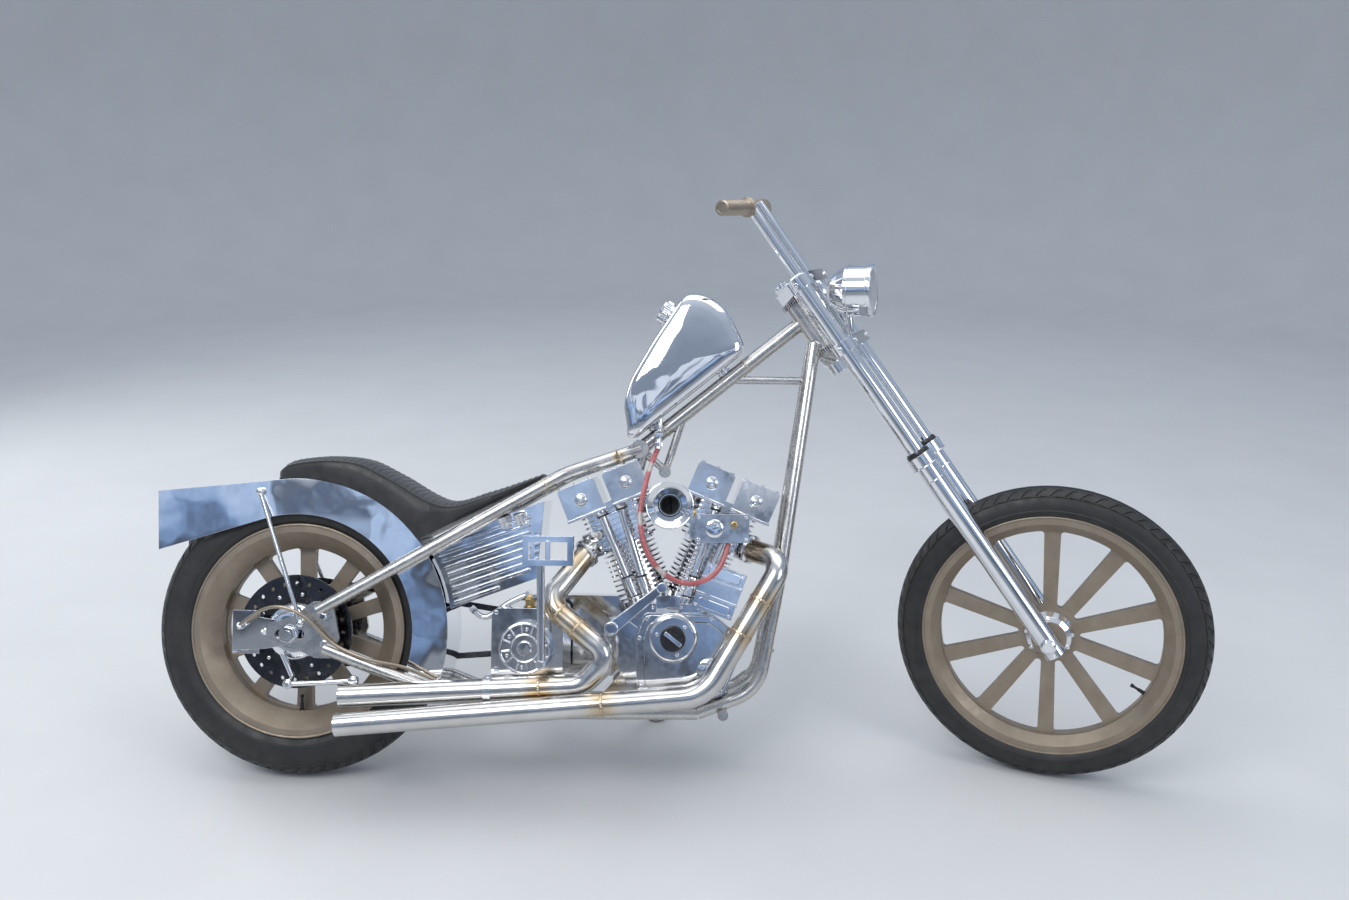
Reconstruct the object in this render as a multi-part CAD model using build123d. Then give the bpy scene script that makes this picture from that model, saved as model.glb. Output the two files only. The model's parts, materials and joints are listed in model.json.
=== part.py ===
from build123d import *
import math
import os

os.makedirs("parts", exist_ok=True)

# Millimetres. The bike is drawn upright with its wheels straight ahead, x forward, y to its left,
# z up from the ground line and the rear axle at x 0. At the end it leans onto its side stand.

# Stance
WHEELBASE = 1707.0
RAKE = 34.9
LEAN = 18.8
REST_STEER = 22.5
FORK_OFFSET = 55.0

# Wheels and tyres
FRONT_TYRE_CENTRE_R = 298.0
FRONT_TYRE_R = 42.6
REAR_TYRE_CENTRE_R = 270.5
REAR_TYRE_R = 62.0
FRONT_RIM_R = 280.0
REAR_RIM_R = 242.0
FRONT_RIM_HALF_WIDTH = 35.0
REAR_RIM_HALF_WIDTH = 58.0
FRONT_WINDOW_R = 241.5
REAR_WINDOW_R = 186.0
RIM_WALL = 6.0
BEAD_DEPTH = 13.0
SPOKE_COUNT = 10
WEB_RING = 2.0
AXLE_R = 9.5
RUNNING = 0.3
DISC_R = 127.0
DISC_Y = -69.0
DISC_THICK = 6.0

# Frame tubes
RAIL_R = 15.0
TOP_TUBE_R = 17.0
DOWNTUBE_R = 15.0
RAIL_Y_REAR = 112.0
RAIL_Y_FRONT = 76.0
CRADLE_Y = 74.0
DOWNTUBE_Y_TOP = 19.0
PLATE_THICK = 10.0

# Neck and fork, measured along the steering axis from the front axle's level
NECK_LOW = 810.0
NECK_HIGH = 955.0
NECK_R = 25.0
STEM_R = 13.0
CLAMP_THICK = 28.0
LEG_SPACING = 146.0
FORK_TUBE_R = 20.5
SLIDER_R = 23.5
SLIDER_TOP = 505.0
COLLAR_R = 31.0
RISER_SPACING = 94.0
RISER_R = 12.5
RISER_TOP = 1192.0
GRIP_LENGTH = 128.0
GRIP_R = 17.5
GRIP_SWEEP = 12.0

# Engine
CRANK_X = 836.0
CRANK_Z = 309.0
V_HALF_ANGLE = 22.5
CASE_R = 118.0
CASE_HALF_WIDTH = 62.0
BARREL_R = 47.0
FIN_R = 64.0
FIN_THICK = 4.0
FIN_PITCH = 11.5
BARREL_FROM = 126.0
BARREL_TO = 252.0
HEAD_TO = 340.0
PIPE_R = 25.0


def steer_height():
    """Height of the front axle with the wheel straight, so that the steered, leaning tyre meets z 0."""
    lean = math.radians(LEAN)
    rake = math.radians(RAKE)
    turn = math.radians(REST_STEER)
    tilt = math.sin(turn) * math.sin(rake) * math.cos(lean) - math.cos(turn) * math.sin(lean)
    reach = FRONT_TYRE_CENTRE_R * math.sqrt(1 - tilt * tilt) + FRONT_TYRE_R
    side = FORK_OFFSET * math.sin(turn) * math.sin(lean)
    drop = FORK_OFFSET * (1 - math.cos(turn)) * math.sin(rake)
    return (reach - side) / math.cos(lean) + drop


REAR_AXLE_Z = REAR_TYRE_CENTRE_R + REAR_TYRE_R / math.cos(math.radians(LEAN))
FRONT_AXLE_Z = steer_height()
UP_FORK = Vector(-math.sin(math.radians(RAKE)), 0, math.cos(math.radians(RAKE)))
AHEAD_FORK = Vector(math.cos(math.radians(RAKE)), 0, math.sin(math.radians(RAKE)))
FRONT_AXLE = Vector(WHEELBASE, 0, FRONT_AXLE_Z)
STEER_POINT = FRONT_AXLE - AHEAD_FORK * FORK_OFFSET
STEER_AXIS = Axis(STEER_POINT, UP_FORK)
REAR_AXLE = Vector(0, 0, REAR_AXLE_Z)


def on_fork(along, ahead=0.0, side=0.0):
    """A point in the fork's own directions, from the front axle."""
    return FRONT_AXLE + UP_FORK * along + AHEAD_FORK * ahead + Vector(0, side, 0)


def rod(start, end, radius):
    start = Vector(*start)
    end = Vector(*end)
    length = (end - start).length
    return Plane(start, z_dir=end - start) * Cylinder(
        radius, length, align=(Align.CENTER, Align.CENTER, Align.MIN))


def cross_rod(x, z, y_from, y_to, radius):
    return rod((x, y_from, z), (x, y_to, z), radius)


def bent(points, radius, bend):
    path = FilletPolyline(*points, radius=bend)
    return sweep(Plane(path @ 0, z_dir=path % 0) * Circle(radius), path=path)


def side_plate(sketch, y_from, y_to):
    """A sketch drawn in x and z, made solid between two y planes."""
    face = Plane.XZ.offset(-y_from) * sketch
    return extrude(face, amount=-(y_to - y_from))


def polygon(*points):
    return make_face(Polyline(*points, close=True))


def spin(sketch, centre):
    """Revolves a sketch, drawn as distance from the axis and y, round an axle."""
    return Pos(*centre) * revolve(Plane.XY * sketch, axis=Axis.Y)


def mirrored(shape):
    return mirror(shape, about=Plane.XZ)


def lean_over(shape):
    return shape.rotate(Axis.X, -LEAN)


def steer_and_lean(shape):
    return lean_over(shape.rotate(STEER_AXIS, -REST_STEER))


# Wheels


def tyre(centre, centre_r, radius, rim_r, half_width):
    bead_r = rim_r - BEAD_DEPTH
    seat = half_width - RIM_WALL - RUNNING
    rim_gap = rim_r + RUNNING
    body = Pos(centre_r, 0) * Circle(radius)
    body -= Pos(rim_gap / 2, 0) * Rectangle(rim_gap, 4 * radius)
    body += Pos((bead_r + RUNNING + rim_gap + 1) / 2, 0) * Rectangle(
        rim_gap + 1 - bead_r - RUNNING, 2 * seat)
    return spin(body, centre)


def wheel(centre, rim_r, half_width, window_r, spoke_y, spoke_thick, hub_r, hub_half, disc_root):
    """A cast wheel: stepped rim, spoke disc with filleted windows, hub and axle bore."""
    bead_r = rim_r - BEAD_DEPTH
    well_r = window_r + 4
    step = half_width * 0.45
    rim = polygon(
        (rim_r, half_width), (rim_r, half_width - RIM_WALL), (bead_r, half_width - RIM_WALL),
        (well_r + RIM_WALL, step), (well_r + RIM_WALL, -step),
        (bead_r, RIM_WALL - half_width), (rim_r, RIM_WALL - half_width), (rim_r, -half_width),
        (bead_r - RIM_WALL, -half_width), (window_r, -step), (window_r, step),
        (bead_r - RIM_WALL, half_width))
    body = spin(rim, centre)
    hub = polygon((AXLE_R + RUNNING, -hub_half), (hub_r, -hub_half), (hub_r, hub_half),
                  (AXLE_R + RUNNING, hub_half))
    body += spin(hub, centre)
    web = Circle(window_r + 1) - Circle(hub_r - 1)
    half_root = math.radians(180 / SPOKE_COUNT)
    inner = disc_root
    spoke_half = 15.0
    edge = math.asin(spoke_half / inner)
    far = math.asin((spoke_half + 3) / window_r)
    window = make_face(
        Polyline((inner * math.cos(-half_root + edge), inner * math.sin(-half_root + edge)),
                 (window_r * math.cos(-half_root + far), window_r * math.sin(-half_root + far)),
                 (window_r * 1.03 * math.cos(0), 0),
                 (window_r * math.cos(half_root - far), window_r * math.sin(half_root - far)),
                 (inner * math.cos(half_root - edge), inner * math.sin(half_root - edge)),
                 close=True))
    window = window & Circle(window_r - WEB_RING)
    window = fillet(window.vertices(), 7)
    for number in range(SPOKE_COUNT):
        web -= Rot(0, 0, (number + 0.5) * 360 / SPOKE_COUNT + 90) * window
    disc = extrude(Plane.XZ.offset(-spoke_y + 0) * web, amount=spoke_thick / 2, both=True)
    return body + Pos(*centre) * disc


front_tyre = tyre(FRONT_AXLE, FRONT_TYRE_CENTRE_R, FRONT_TYRE_R, FRONT_RIM_R, FRONT_RIM_HALF_WIDTH)
rear_tyre = tyre(REAR_AXLE, REAR_TYRE_CENTRE_R, REAR_TYRE_R, REAR_RIM_R, REAR_RIM_HALF_WIDTH)
FRONT_HUB_HALF = 44.0
REAR_HUB_HALF = 64.0
front_wheel = wheel(FRONT_AXLE, FRONT_RIM_R, FRONT_RIM_HALF_WIDTH, FRONT_WINDOW_R, 0.0, 17.0,
                    38.0, FRONT_HUB_HALF, 66.0)
rear_wheel = wheel(REAR_AXLE, REAR_RIM_R, REAR_RIM_HALF_WIDTH, REAR_WINDOW_R, 8.0, 20.0,
                   42.0, REAR_HUB_HALF, 66.0)

# Hub cap of the front wheel, a dome round the axle
CAP_R = 55.0
cap_profile = polygon((38.0, -8.5), (CAP_R, -8.5), (CAP_R, -16.0), (48.0, -32.0), (38.0, -40.0))
front_hub_caps = spin(cap_profile, FRONT_AXLE)
front_hub_caps += mirrored(front_hub_caps)

# Rear brake disc on the right, chain sprocket on the left
disc_face = polygon((42.0, DISC_Y - DISC_THICK / 2), (DISC_R, DISC_Y - DISC_THICK / 2),
                    (DISC_R, DISC_Y + DISC_THICK / 2), (42.0, DISC_Y + DISC_THICK / 2))
brake_disc = spin(disc_face, REAR_AXLE)
carrier = polygon((AXLE_R + RUNNING, -REAR_HUB_HALF), (60.0, -REAR_HUB_HALF),
                  (60.0, DISC_Y + DISC_THICK / 2), (42.0, DISC_Y + DISC_THICK / 2),
                  (42.0, DISC_Y - DISC_THICK / 2 - 3), (AXLE_R + RUNNING, DISC_Y - DISC_THICK / 2 - 3))
brake_disc += spin(carrier, REAR_AXLE)
HOLES = 24
for number in range(HOLES):
    turn = math.radians(360 / HOLES * number)
    brake_disc -= cross_rod(108 * math.cos(turn), REAR_AXLE_Z + 108 * math.sin(turn), -80, -60, 4.5)

SPROCKET_R = 92.0
SPROCKET_Y = 85.0
SPROCKET_TEETH = 40
sprocket_face = Circle(SPROCKET_R)
for number in range(SPROCKET_TEETH):
    sprocket_face -= Rot(0, 0, 360 / SPROCKET_TEETH * number) * Pos(SPROCKET_R, 0) * Circle(4.2)
for number in range(6):
    sprocket_face -= Rot(0, 0, 60 * number) * Pos(62, 0) * Circle(13)
rear_sprocket = Pos(*REAR_AXLE) * extrude(Plane.XZ.offset(-SPROCKET_Y) * sprocket_face, amount=3, both=True)
rear_sprocket += cross_rod(0, REAR_AXLE_Z, REAR_HUB_HALF, SPROCKET_Y + 3, 40.0)
rear_sprocket -= cross_rod(0, REAR_AXLE_Z, 0, 120, AXLE_R + RUNNING)

# Frame
RAIL_REAR = (62.0, 388.0)
RAIL_KNEE = (600.0, 697.0)
JUNCTION = (767.0, 757.0)
NECK_AT_TOP_TUBE = STEER_POINT + UP_FORK * 902
NECK_AT_DOWNTUBE = STEER_POINT + UP_FORK * 832

neck = rod(STEER_POINT + UP_FORK * NECK_LOW, STEER_POINT + UP_FORK * NECK_HIGH, NECK_R)
for along in (NECK_LOW, NECK_HIGH - 14):
    neck += rod(STEER_POINT + UP_FORK * along, STEER_POINT + UP_FORK * (along + 14), NECK_R + 4)
neck_solid = neck
neck -= rod(STEER_POINT, STEER_POINT + UP_FORK * 1100, STEM_R + RUNNING)

JUNCTION_R = 21.0
frame_junction = cross_rod(JUNCTION[0], JUNCTION[1], -34, 34, JUNCTION_R)
top_tube = rod((JUNCTION[0], 0, JUNCTION[1]), NECK_AT_TOP_TUBE, TOP_TUBE_R) - neck_solid + frame_junction

axle_plate_outline = polygon((-50, 322), (-50, 358), (8, 374), (52, 408), (96, 410), (104, 372),
                             (112, 326), (98, 284), (60, 284), (10, 306))
axle_plate_outline = fillet(axle_plate_outline.vertices(), 8)
axle_plate_outline -= Pos(2, REAR_AXLE_Z) * SlotOverall(66, 2 * AXLE_R + 0.6)
plate_right = side_plate(axle_plate_outline, -RAIL_Y_REAR - PLATE_THICK / 2, -RAIL_Y_REAR + PLATE_THICK / 2)

upper_rail_right = bent([(RAIL_REAR[0], -RAIL_Y_REAR, RAIL_REAR[1]), (RAIL_KNEE[0], -RAIL_Y_FRONT, RAIL_KNEE[1]),
                         (JUNCTION[0], -22, JUNCTION[1])], RAIL_R, 150)
upper_rail_right = upper_rail_right - frame_junction - plate_right
upper_rail_right -= Pos(JUNCTION[0], 0, JUNCTION[1]) * Box(60, 30, 60)

CRADLE_Z = 168.0
LOWER_REAR = (78.0, 306.0)
LOWER_BEND_REAR = (440.0, CRADLE_Z)
LOWER_BEND_FRONT = (905.0, CRADLE_Z)
CRADLE_FRONT = (1060.0, 290.0)
lower_rail_right = bent([(LOWER_REAR[0], -RAIL_Y_REAR, LOWER_REAR[1]),
                         (LOWER_BEND_REAR[0], -100, LOWER_BEND_REAR[1]),
                         (LOWER_BEND_FRONT[0], -CRADLE_Y, LOWER_BEND_FRONT[1])], RAIL_R, 120)
lower_rail_right -= plate_right
downtube_right = bent([(LOWER_BEND_FRONT[0], -CRADLE_Y, LOWER_BEND_FRONT[1]),
                       (CRADLE_FRONT[0] - 20, -CRADLE_Y, CRADLE_FRONT[1] - 70),
                       (1089, -62, 480),
                       (NECK_AT_DOWNTUBE.X - 20, -DOWNTUBE_Y_TOP, NECK_AT_DOWNTUBE.Z)], DOWNTUBE_R, 90)
downtube_right = downtube_right - neck_solid - lower_rail_right


# Cross tubes that carry the engine and gearbox between the lower rails
lower_rail_left = mirrored(lower_rail_right)
downtube_left = mirrored(downtube_right)
upper_rail_left = mirrored(upper_rail_right)
plate_left = mirrored(plate_right)
CROSS_R = 12.0
cross_tubes = Part()
for x in (478.0, 706.0, 962.0):
    cross_tubes += cross_rod(x, CRADLE_Z, -100, 100, CROSS_R)
for rail in (lower_rail_right, lower_rail_left, downtube_right, downtube_left):
    cross_tubes -= rail
cross_tubes = Part() + [piece for piece in cross_tubes.solids() if abs(piece.center().Y) < 5]
CROSS_TOP = CRADLE_Z + CROSS_R + RUNNING

frame_braces = rod((955, 0, 920), (1142, 0, 920), 9)
frame_braces += rod((866, 0, 832), (828, 0, 712), 9)
frame_braces += rod((775, 0, 752), (822, 0, 712), 9)
frame_braces += cross_rod(825, 706, -16, 16, 14)
for tube_ in (top_tube, downtube_right, downtube_left, frame_junction):
    frame_braces -= tube_

# Rear axle, its spacers and end nuts
rear_axle = cross_rod(0, REAR_AXLE_Z, -132, 132, AXLE_R)
for y_from, y_to in ((-107, -78.3), (88.3, 107)):
    rear_axle += cross_rod(0, REAR_AXLE_Z, y_from, y_to, 15)
for y_from, y_to in ((-129, -117), (117, 129)):
    rear_axle += cross_rod(0, REAR_AXLE_Z, y_from, y_to, 16)

# Rear fender: a flat-sided channel round the tyre with a straight tail
FENDER_R = 344.0
FENDER_SKIRT_R = 264.0
FENDER_WALL = 3.0
FENDER_HALF = 76.0
TAIL_ANGLE = 96.0
SKIRT_ANGLE = 107.0
TAIL_LENGTH = 283.0
SKIRT_TAIL = 247.0


def channel_face(outer_r, inner_r, start, inner_start, tail, inner_tail):
    outer = CenterArc((0, 0), outer_r, start, TAIL_ANGLE - start)
    inner = CenterArc((0, 0), inner_r, inner_start, SKIRT_ANGLE - inner_start)
    top_end = outer @ 1 + (outer % 1) * tail
    low_end = inner @ 1 + (inner % 1) * inner_tail
    edges = [outer, Line(outer @ 1, top_end), Line(top_end, low_end), Line(low_end, inner @ 1), inner,
             Line(inner @ 0, outer @ 0)]
    return Pos(0, REAR_AXLE_Z) * make_face(edges)


fender = side_plate(channel_face(FENDER_R, FENDER_SKIRT_R, -20, -25, TAIL_LENGTH, SKIRT_TAIL),
                    -FENDER_HALF, FENDER_HALF)
fender -= side_plate(channel_face(FENDER_R - FENDER_WALL, FENDER_SKIRT_R - 60, -60, -60,
                                  TAIL_LENGTH + 100, SKIRT_TAIL + 120),
                     FENDER_WALL - FENDER_HALF, FENDER_HALF - FENDER_WALL)
STAY_TOP = (-84.0, 650.0)
STAY_FOOT = (28.0, 360.0)
STAY_Y = RAIL_Y_REAR + PLATE_THICK / 2
stay = cross_rod(*STAY_TOP, -FENDER_HALF - 9, -FENDER_HALF, 9)
stay += cross_rod(*STAY_FOOT, -STAY_Y - 9, -STAY_Y, 9)
stay += rod((STAY_TOP[0], -FENDER_HALF - 5, STAY_TOP[1]), (STAY_FOOT[0], -STAY_Y - 5, STAY_FOOT[1]), 5) - plate_right
fender_stays = stay + mirrored(stay)

# Seat, a leather pad on the fender and the upper rails
SEAT_FENDER_R = FENDER_R + 1
seat_start = CenterArc((0, REAR_AXLE_Z), SEAT_FENDER_R, 40, 60)
seat_low = seat_start @ 0
seat_side = make_face([
    seat_start,
    Line(seat_start @ 1, (-52, 700)), ThreePointArc((-52, 700), (-30, 720), (0, 727)),
    ThreePointArc((0, 727), (70, 733), (139, 727)), Line((139, 727), (210, 693)),
    ThreePointArc((210, 693), (327, 632), (430, 656)), Line((430, 656), (548, 699)),
    Line((548, 699), (560, 692)), Line((560, 692), (272, 530)), Line((272, 530), seat_low)])
seat = side_plate(seat_side, -92, 92)
seat_plan = polygon((-60, -62), (60, -88), (300, -92), (580, -40), (580, 40), (300, 92), (60, 88), (-60, 62))
seat &= extrude(Plane.XY.offset(450) * fillet(seat_plan.vertices(), 25), amount=350)
seat -= side_plate(channel_face(FENDER_R + RUNNING, FENDER_SKIRT_R, -20, -25, TAIL_LENGTH, SKIRT_TAIL), -120, 120)

# Fuel tank on the top tube, tall and narrow with flat sides
TANK_HALF = 74.0
tank_face = polygon((738, 780), (761, 780), (1012, 984), (962, 1080), (917, 1112), (868, 1115),
                    (800, 1014), (742, 912), (727, 852))
tank_face = fillet(tank_face.vertices(), 11)
fuel_tank = extrude(Plane.XZ * tank_face, amount=TANK_HALF, both=True, taper=4)
top_tube_start = Vector(JUNCTION[0], 0, JUNCTION[1])
top_tube_way = (NECK_AT_TOP_TUBE - top_tube_start).normalized()
top_tube_up = Vector(-top_tube_way.Z, 0, top_tube_way.X)
for along in (58.0, 262.0):
    seat_point = top_tube_start + top_tube_way * along
    fuel_tank += rod(seat_point + top_tube_up * 10, seat_point + top_tube_up * 34, 12) - top_tube
CAP_BASE = (832.0, 1070.0)
tank_out = Vector(-math.cos(math.radians(32)), 0, math.sin(math.radians(32)))
cap_foot = Vector(CAP_BASE[0], 0, CAP_BASE[1])
fuel_cap = rod(cap_foot - tank_out * 8, cap_foot + tank_out * 22, 27) - fuel_tank

# Oil tank under the seat, with pressed ribs
OIL_HALF = 68.0
oil_arc = CenterArc((0, REAR_AXLE_Z), FENDER_R + 8, 9, 24)
oil_face = make_face([oil_arc, Line(oil_arc @ 1, (300, 541)), Line((300, 541), (556, 636)),
                      Line((556, 636), (542, 462)), Line((542, 462), oil_arc @ 0)])
oil_tank = side_plate(oil_face, -OIL_HALF, OIL_HALF)
oil_tank += cross_rod(430, 588, -80, 80, 9) - upper_rail_right - upper_rail_left

# Engine
def on_cylinder(side):
    """A plane at the crank whose z runs up a cylinder: side -1 is the rear one, 1 the front."""
    lean = math.radians(V_HALF_ANGLE)
    return Plane((CRANK_X, 0, CRANK_Z), x_dir=(math.cos(lean), 0, -side * math.sin(lean)),
                 z_dir=(side * math.sin(lean), 0, math.cos(lean)))


BASE_R = 60.0
crankcase = cross_rod(CRANK_X, CRANK_Z, -CASE_HALF_WIDTH, CASE_HALF_WIDTH, CASE_R)
crankcase += cross_rod(CRANK_X, CRANK_Z, CASE_HALF_WIDTH, 99.7, 62)
feet = polygon((692, CROSS_TOP), (722, CROSS_TOP), (780, 215), (890, 215), (944, CROSS_TOP), (976, CROSS_TOP),
               (976, 205), (930, 260), (742, 260), (692, 205))
crankcase += side_plate(feet, -50, 50)
for side in (-1, 1):
    crankcase += on_cylinder(side) * Pos(0, 0, 60) * Cylinder(
        BASE_R, BARREL_FROM - 60, align=(Align.CENTER, Align.CENTER, Align.MIN))

COVER_Y = -114.0
cover_face = polygon((772, 228), (802, 200), (900, 194), (962, 216), (990, 282), (984, 356), (938, 392),
                     (786, 392), (766, 340))
cam_cover = side_plate(fillet(cover_face.vertices(), 14), COVER_Y, -CASE_HALF_WIDTH)
cam_cover += cross_rod(850, 340, COVER_Y - 22, COVER_Y, 46)
TUBE_FEET = ((-1, 772.0, -24.0), (-1, 798.0, 24.0), (1, 874.0, -24.0), (1, 900.0, 24.0))
LIFTER_TOP = 412.0
for x in (785.0, 887.0):
    cam_cover += Pos(x, -84, (380 + LIFTER_TOP) / 2) * Box(52, 30, LIFTER_TOP - 380)
cam_cover -= crankcase
timer_cap = cross_rod(850, 340, COVER_Y - 32, COVER_Y - 22, 26)

ROCKER_HIGH = 78.0
ROCKER_X = 53.5
ROCKER_WIDE = 88.0
HEAD_HALF_Y = 70.0
TUBE_Y = -84.0


def cylinder_unit(side):
    """Finned barrel and head of one cylinder."""
    low = (Align.CENTER, Align.CENTER, Align.MIN)
    unit = Pos(0, 0, BARREL_FROM) * Cylinder(BARREL_R, BARREL_TO - BARREL_FROM, align=low)
    height = BARREL_FROM + 6
    while height + FIN_THICK < BARREL_TO:
        unit += Pos(0, 0, height) * Cylinder(FIN_R, FIN_THICK, align=low)
        height += FIN_PITCH
    unit += Pos(0, 0, BARREL_TO) * Box(118, 104, HEAD_TO - BARREL_TO, align=low)
    height = BARREL_TO + 3
    while height + FIN_THICK < HEAD_TO:
        fin = extrude(fillet(Rectangle(150, 2 * HEAD_HALF_Y).vertices(), 30), amount=FIN_THICK)
        unit += Pos(0, 0, height) * fin
        height += FIN_PITCH
    unit += Pos(side * 70, -30, 275) * Rot(0, 90, 0) * Cylinder(30, 34)
    return on_cylinder(side) * unit


def rocker_boxes(side):
    boxes = Part()
    for x in (-ROCKER_X, ROCKER_X):
        box = Pos(x, -12, HEAD_TO + ROCKER_HIGH / 2) * Box(ROCKER_WIDE, 166, ROCKER_HIGH)
        boxes += fillet(box.edges().filter_by(Axis.Y), 8)
    boxes += Pos(0, -12, HEAD_TO + 8) * Box(60, 130, 16)
    return on_cylinder(side) * boxes


# The lower fins of the two barrels are cut off flat where they meet
FIN_GAP = 1.0
HALF_BOX = 400.0
cylinder_rear = cylinder_unit(-1) - Pos(CRANK_X + HALF_BOX / 2 - FIN_GAP, 0, 500) * Box(HALF_BOX, 300, 700)
cylinder_front = cylinder_unit(1) - Pos(CRANK_X - HALF_BOX / 2 + FIN_GAP, 0, 500) * Box(HALF_BOX, 300, 700)
cylinder_rear -= crankcase
cylinder_front -= crankcase
rocker_rear = rocker_boxes(-1)
rocker_front = rocker_boxes(1)
pushrod_tubes = Part()
for side, foot_x, top_x in TUBE_FEET:
    top = on_cylinder(side).from_local_coords(Vector(top_x, TUBE_Y, HEAD_TO + 6))
    pushrod_tubes += rod((foot_x, TUBE_Y, LIFTER_TOP - 6), top, 9)
for other in (rocker_rear, rocker_front, cam_cover):
    pushrod_tubes -= other

# Carburettor between the cylinders with its bell mouth, and the float bowl ahead of it
CARB = (840.0, 632.0)
carburettor = Pos(CARB[0], -96, CARB[1]) * Box(66, 68, 62)
carburettor += cross_rod(*CARB, -66, 0, 24)
carburettor += rod((760, 0, CARB[1]), (920, 0, CARB[1]), 21)
carburettor += Pos(955, -125, 582) * Box(118, 44, 62)
carburettor += Pos(888, -118, 608) * Box(60, 24, 30)
for other in (cylinder_rear, cylinder_front, rocker_rear, rocker_front):
    carburettor -= other
carburettor = Part() + [max(carburettor.solids(), key=lambda piece: piece.volume)]
bell = polygon((24, -130), (30, -130), (34, -150), (52, -168), (50, -171), (46, -168), (26, -150))
velocity_stack = Pos(CARB[0], 0, CARB[1]) * revolve(Plane.XY * bell, axis=Axis.Y)
carburettor -= cross_rod(*CARB, -131, -90, 22)

magneto = Pos(950, -118, 446) * Rot(0, 20, 0) * Box(92, 44, 104)
magneto -= cam_cover

# Exhaust pipes, hollow from port to end
FRONT_PIPE = [(1010, -44, 535), (1092, -130, 512), (919, -176, 224), (128, -178, 152)]
FRONT_PIPE_BENDS = [42, 90]
REAR_PIPE = [(664, -44, 534), (572, -122, 414), (716, -146, 300), (652, -136, 236), (128, -152, 208)]
REAR_PIPE_BENDS = [42, 34, 60]
exhaust_front = bent(FRONT_PIPE, PIPE_R, FRONT_PIPE_BENDS) - bent(FRONT_PIPE, PIPE_R - 2, FRONT_PIPE_BENDS)
exhaust_rear = bent(REAR_PIPE, PIPE_R, REAR_PIPE_BENDS) - bent(REAR_PIPE, PIPE_R - 2, REAR_PIPE_BENDS)
exhaust_front -= cylinder_front
exhaust_rear -= cylinder_rear

# Gearbox, its round cover and the kick lever
GEARBOX = (523.0, 312.0)
gearbox = Pos(525, -8, 312) * Box(160, 164, 170)
gearbox = fillet(gearbox.edges().filter_by(Axis.Y), 20)
gearbox += Pos(478, -8, (CROSS_TOP + 240) / 2) * Box(40, 110, 240 - CROSS_TOP)
gearbox_cover = cross_rod(*GEARBOX, -116, -90, 58)
KICK = (566.0, 285.0)
KICK_Y = -160.0
kick_lever = cross_rod(*KICK, KICK_Y - 8, -116, 11)
kick_lever += rod((KICK[0], KICK_Y, KICK[1]), (562, KICK_Y, 500), 9)
pedal = Rectangle(110, 64) - Rectangle(84, 38)
kick_lever += side_plate(Pos(578, 530) * pedal, KICK_Y - 9, KICK_Y + 9)

# Primary drive case on the left, the final chain inside it
PRIMARY_REAR = (530.0, 318.0)
primary_case = cross_rod(CRANK_X, CRANK_Z, 100, 150, 98)
primary_case += cross_rod(*PRIMARY_REAR, 100, 150, 92)
link = Vector(CRANK_X - PRIMARY_REAR[0], CRANK_Z - PRIMARY_REAR[1])
primary_case += side_plate(polygon((PRIMARY_REAR[0], PRIMARY_REAR[1] - 92), (CRANK_X, CRANK_Z - 98),
                                   (CRANK_X, CRANK_Z + 98), (PRIMARY_REAR[0], PRIMARY_REAR[1] + 92)), 100, 150)
primary_shaft = cross_rod(*PRIMARY_REAR, 74, 100, 24)
CHAIN_GAP = 5.5
CHAIN_HIGH = 11.0
CHAIN_HALF = 6.0
DRIVE_R = 36.0


def chain_face(extra):
    big = SPROCKET_R + CHAIN_GAP + extra
    small = DRIVE_R + extra
    circles = Pos(0, REAR_AXLE_Z) * Circle(big) + Pos(*PRIMARY_REAR) * Circle(small)
    return make_hull(circles.edges())


rear_chain = side_plate(chain_face(CHAIN_HIGH) - chain_face(0), SPROCKET_Y - CHAIN_HALF, SPROCKET_Y + CHAIN_HALF)
drive_sprocket = cross_rod(*PRIMARY_REAR, SPROCKET_Y - 3, SPROCKET_Y + 3, DRIVE_R) + primary_shaft

# Rear brake caliper on its bracket behind the axle
caliper = Pos(-104, DISC_Y, REAR_AXLE_Z) * Box(62, 46, 96)
caliper -= Pos(-104, DISC_Y, REAR_AXLE_Z) * Box(80, DISC_THICK + 10, 60)
caliper -= cross_rod(0, REAR_AXLE_Z, DISC_Y - DISC_THICK / 2 - 5, DISC_Y + DISC_THICK / 2 + 5, DISC_R + 5)
caliper_bracket = side_plate(
    polygon((24, 314), (24, 358), (-22, 362), (-70, 370), (-80, 385), (-132, 385), (-132, 296), (-60, 300)), -98, -92.3)
caliper_bracket -= cross_rod(0, REAR_AXLE_Z, -120, 0, 15 + RUNNING)

# Right foot control
foot_control = cross_rod(718, 366, -186, -70, 13) - cross_rod(718, 366, -190, -120, 10)
foot_control -= crankcase
foot_control += side_plate(polygon((706, 376), (712, 352), (752, 326), (772, 352), (736, 378)), -70, -CASE_HALF_WIDTH)
foot_control -= cam_cover

front_axle = cross_rod(WHEELBASE, FRONT_AXLE_Z, -72, 72, AXLE_R)
for y_from, y_to in ((-49.3, -FRONT_HUB_HALF - RUNNING), (FRONT_HUB_HALF + RUNNING, 49.3)):
    front_axle += cross_rod(WHEELBASE, FRONT_AXLE_Z, y_from, y_to, 14)

# Fork legs, clamps and stem
def fork_leg(side):
    y = side * LEG_SPACING / 2
    leg = rod(on_fork(SLIDER_TOP - 5, 0, y), on_fork(TUBE_TOP, 0, y), FORK_TUBE_R)
    leg += rod(on_fork(-30, 0, y), on_fork(SLIDER_TOP, 0, y), SLIDER_R)
    leg += rod(on_fork(SLIDER_TOP - 26, 0, y), on_fork(SLIDER_TOP, 0, y), COLLAR_R)
    return leg - front_axle


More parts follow.
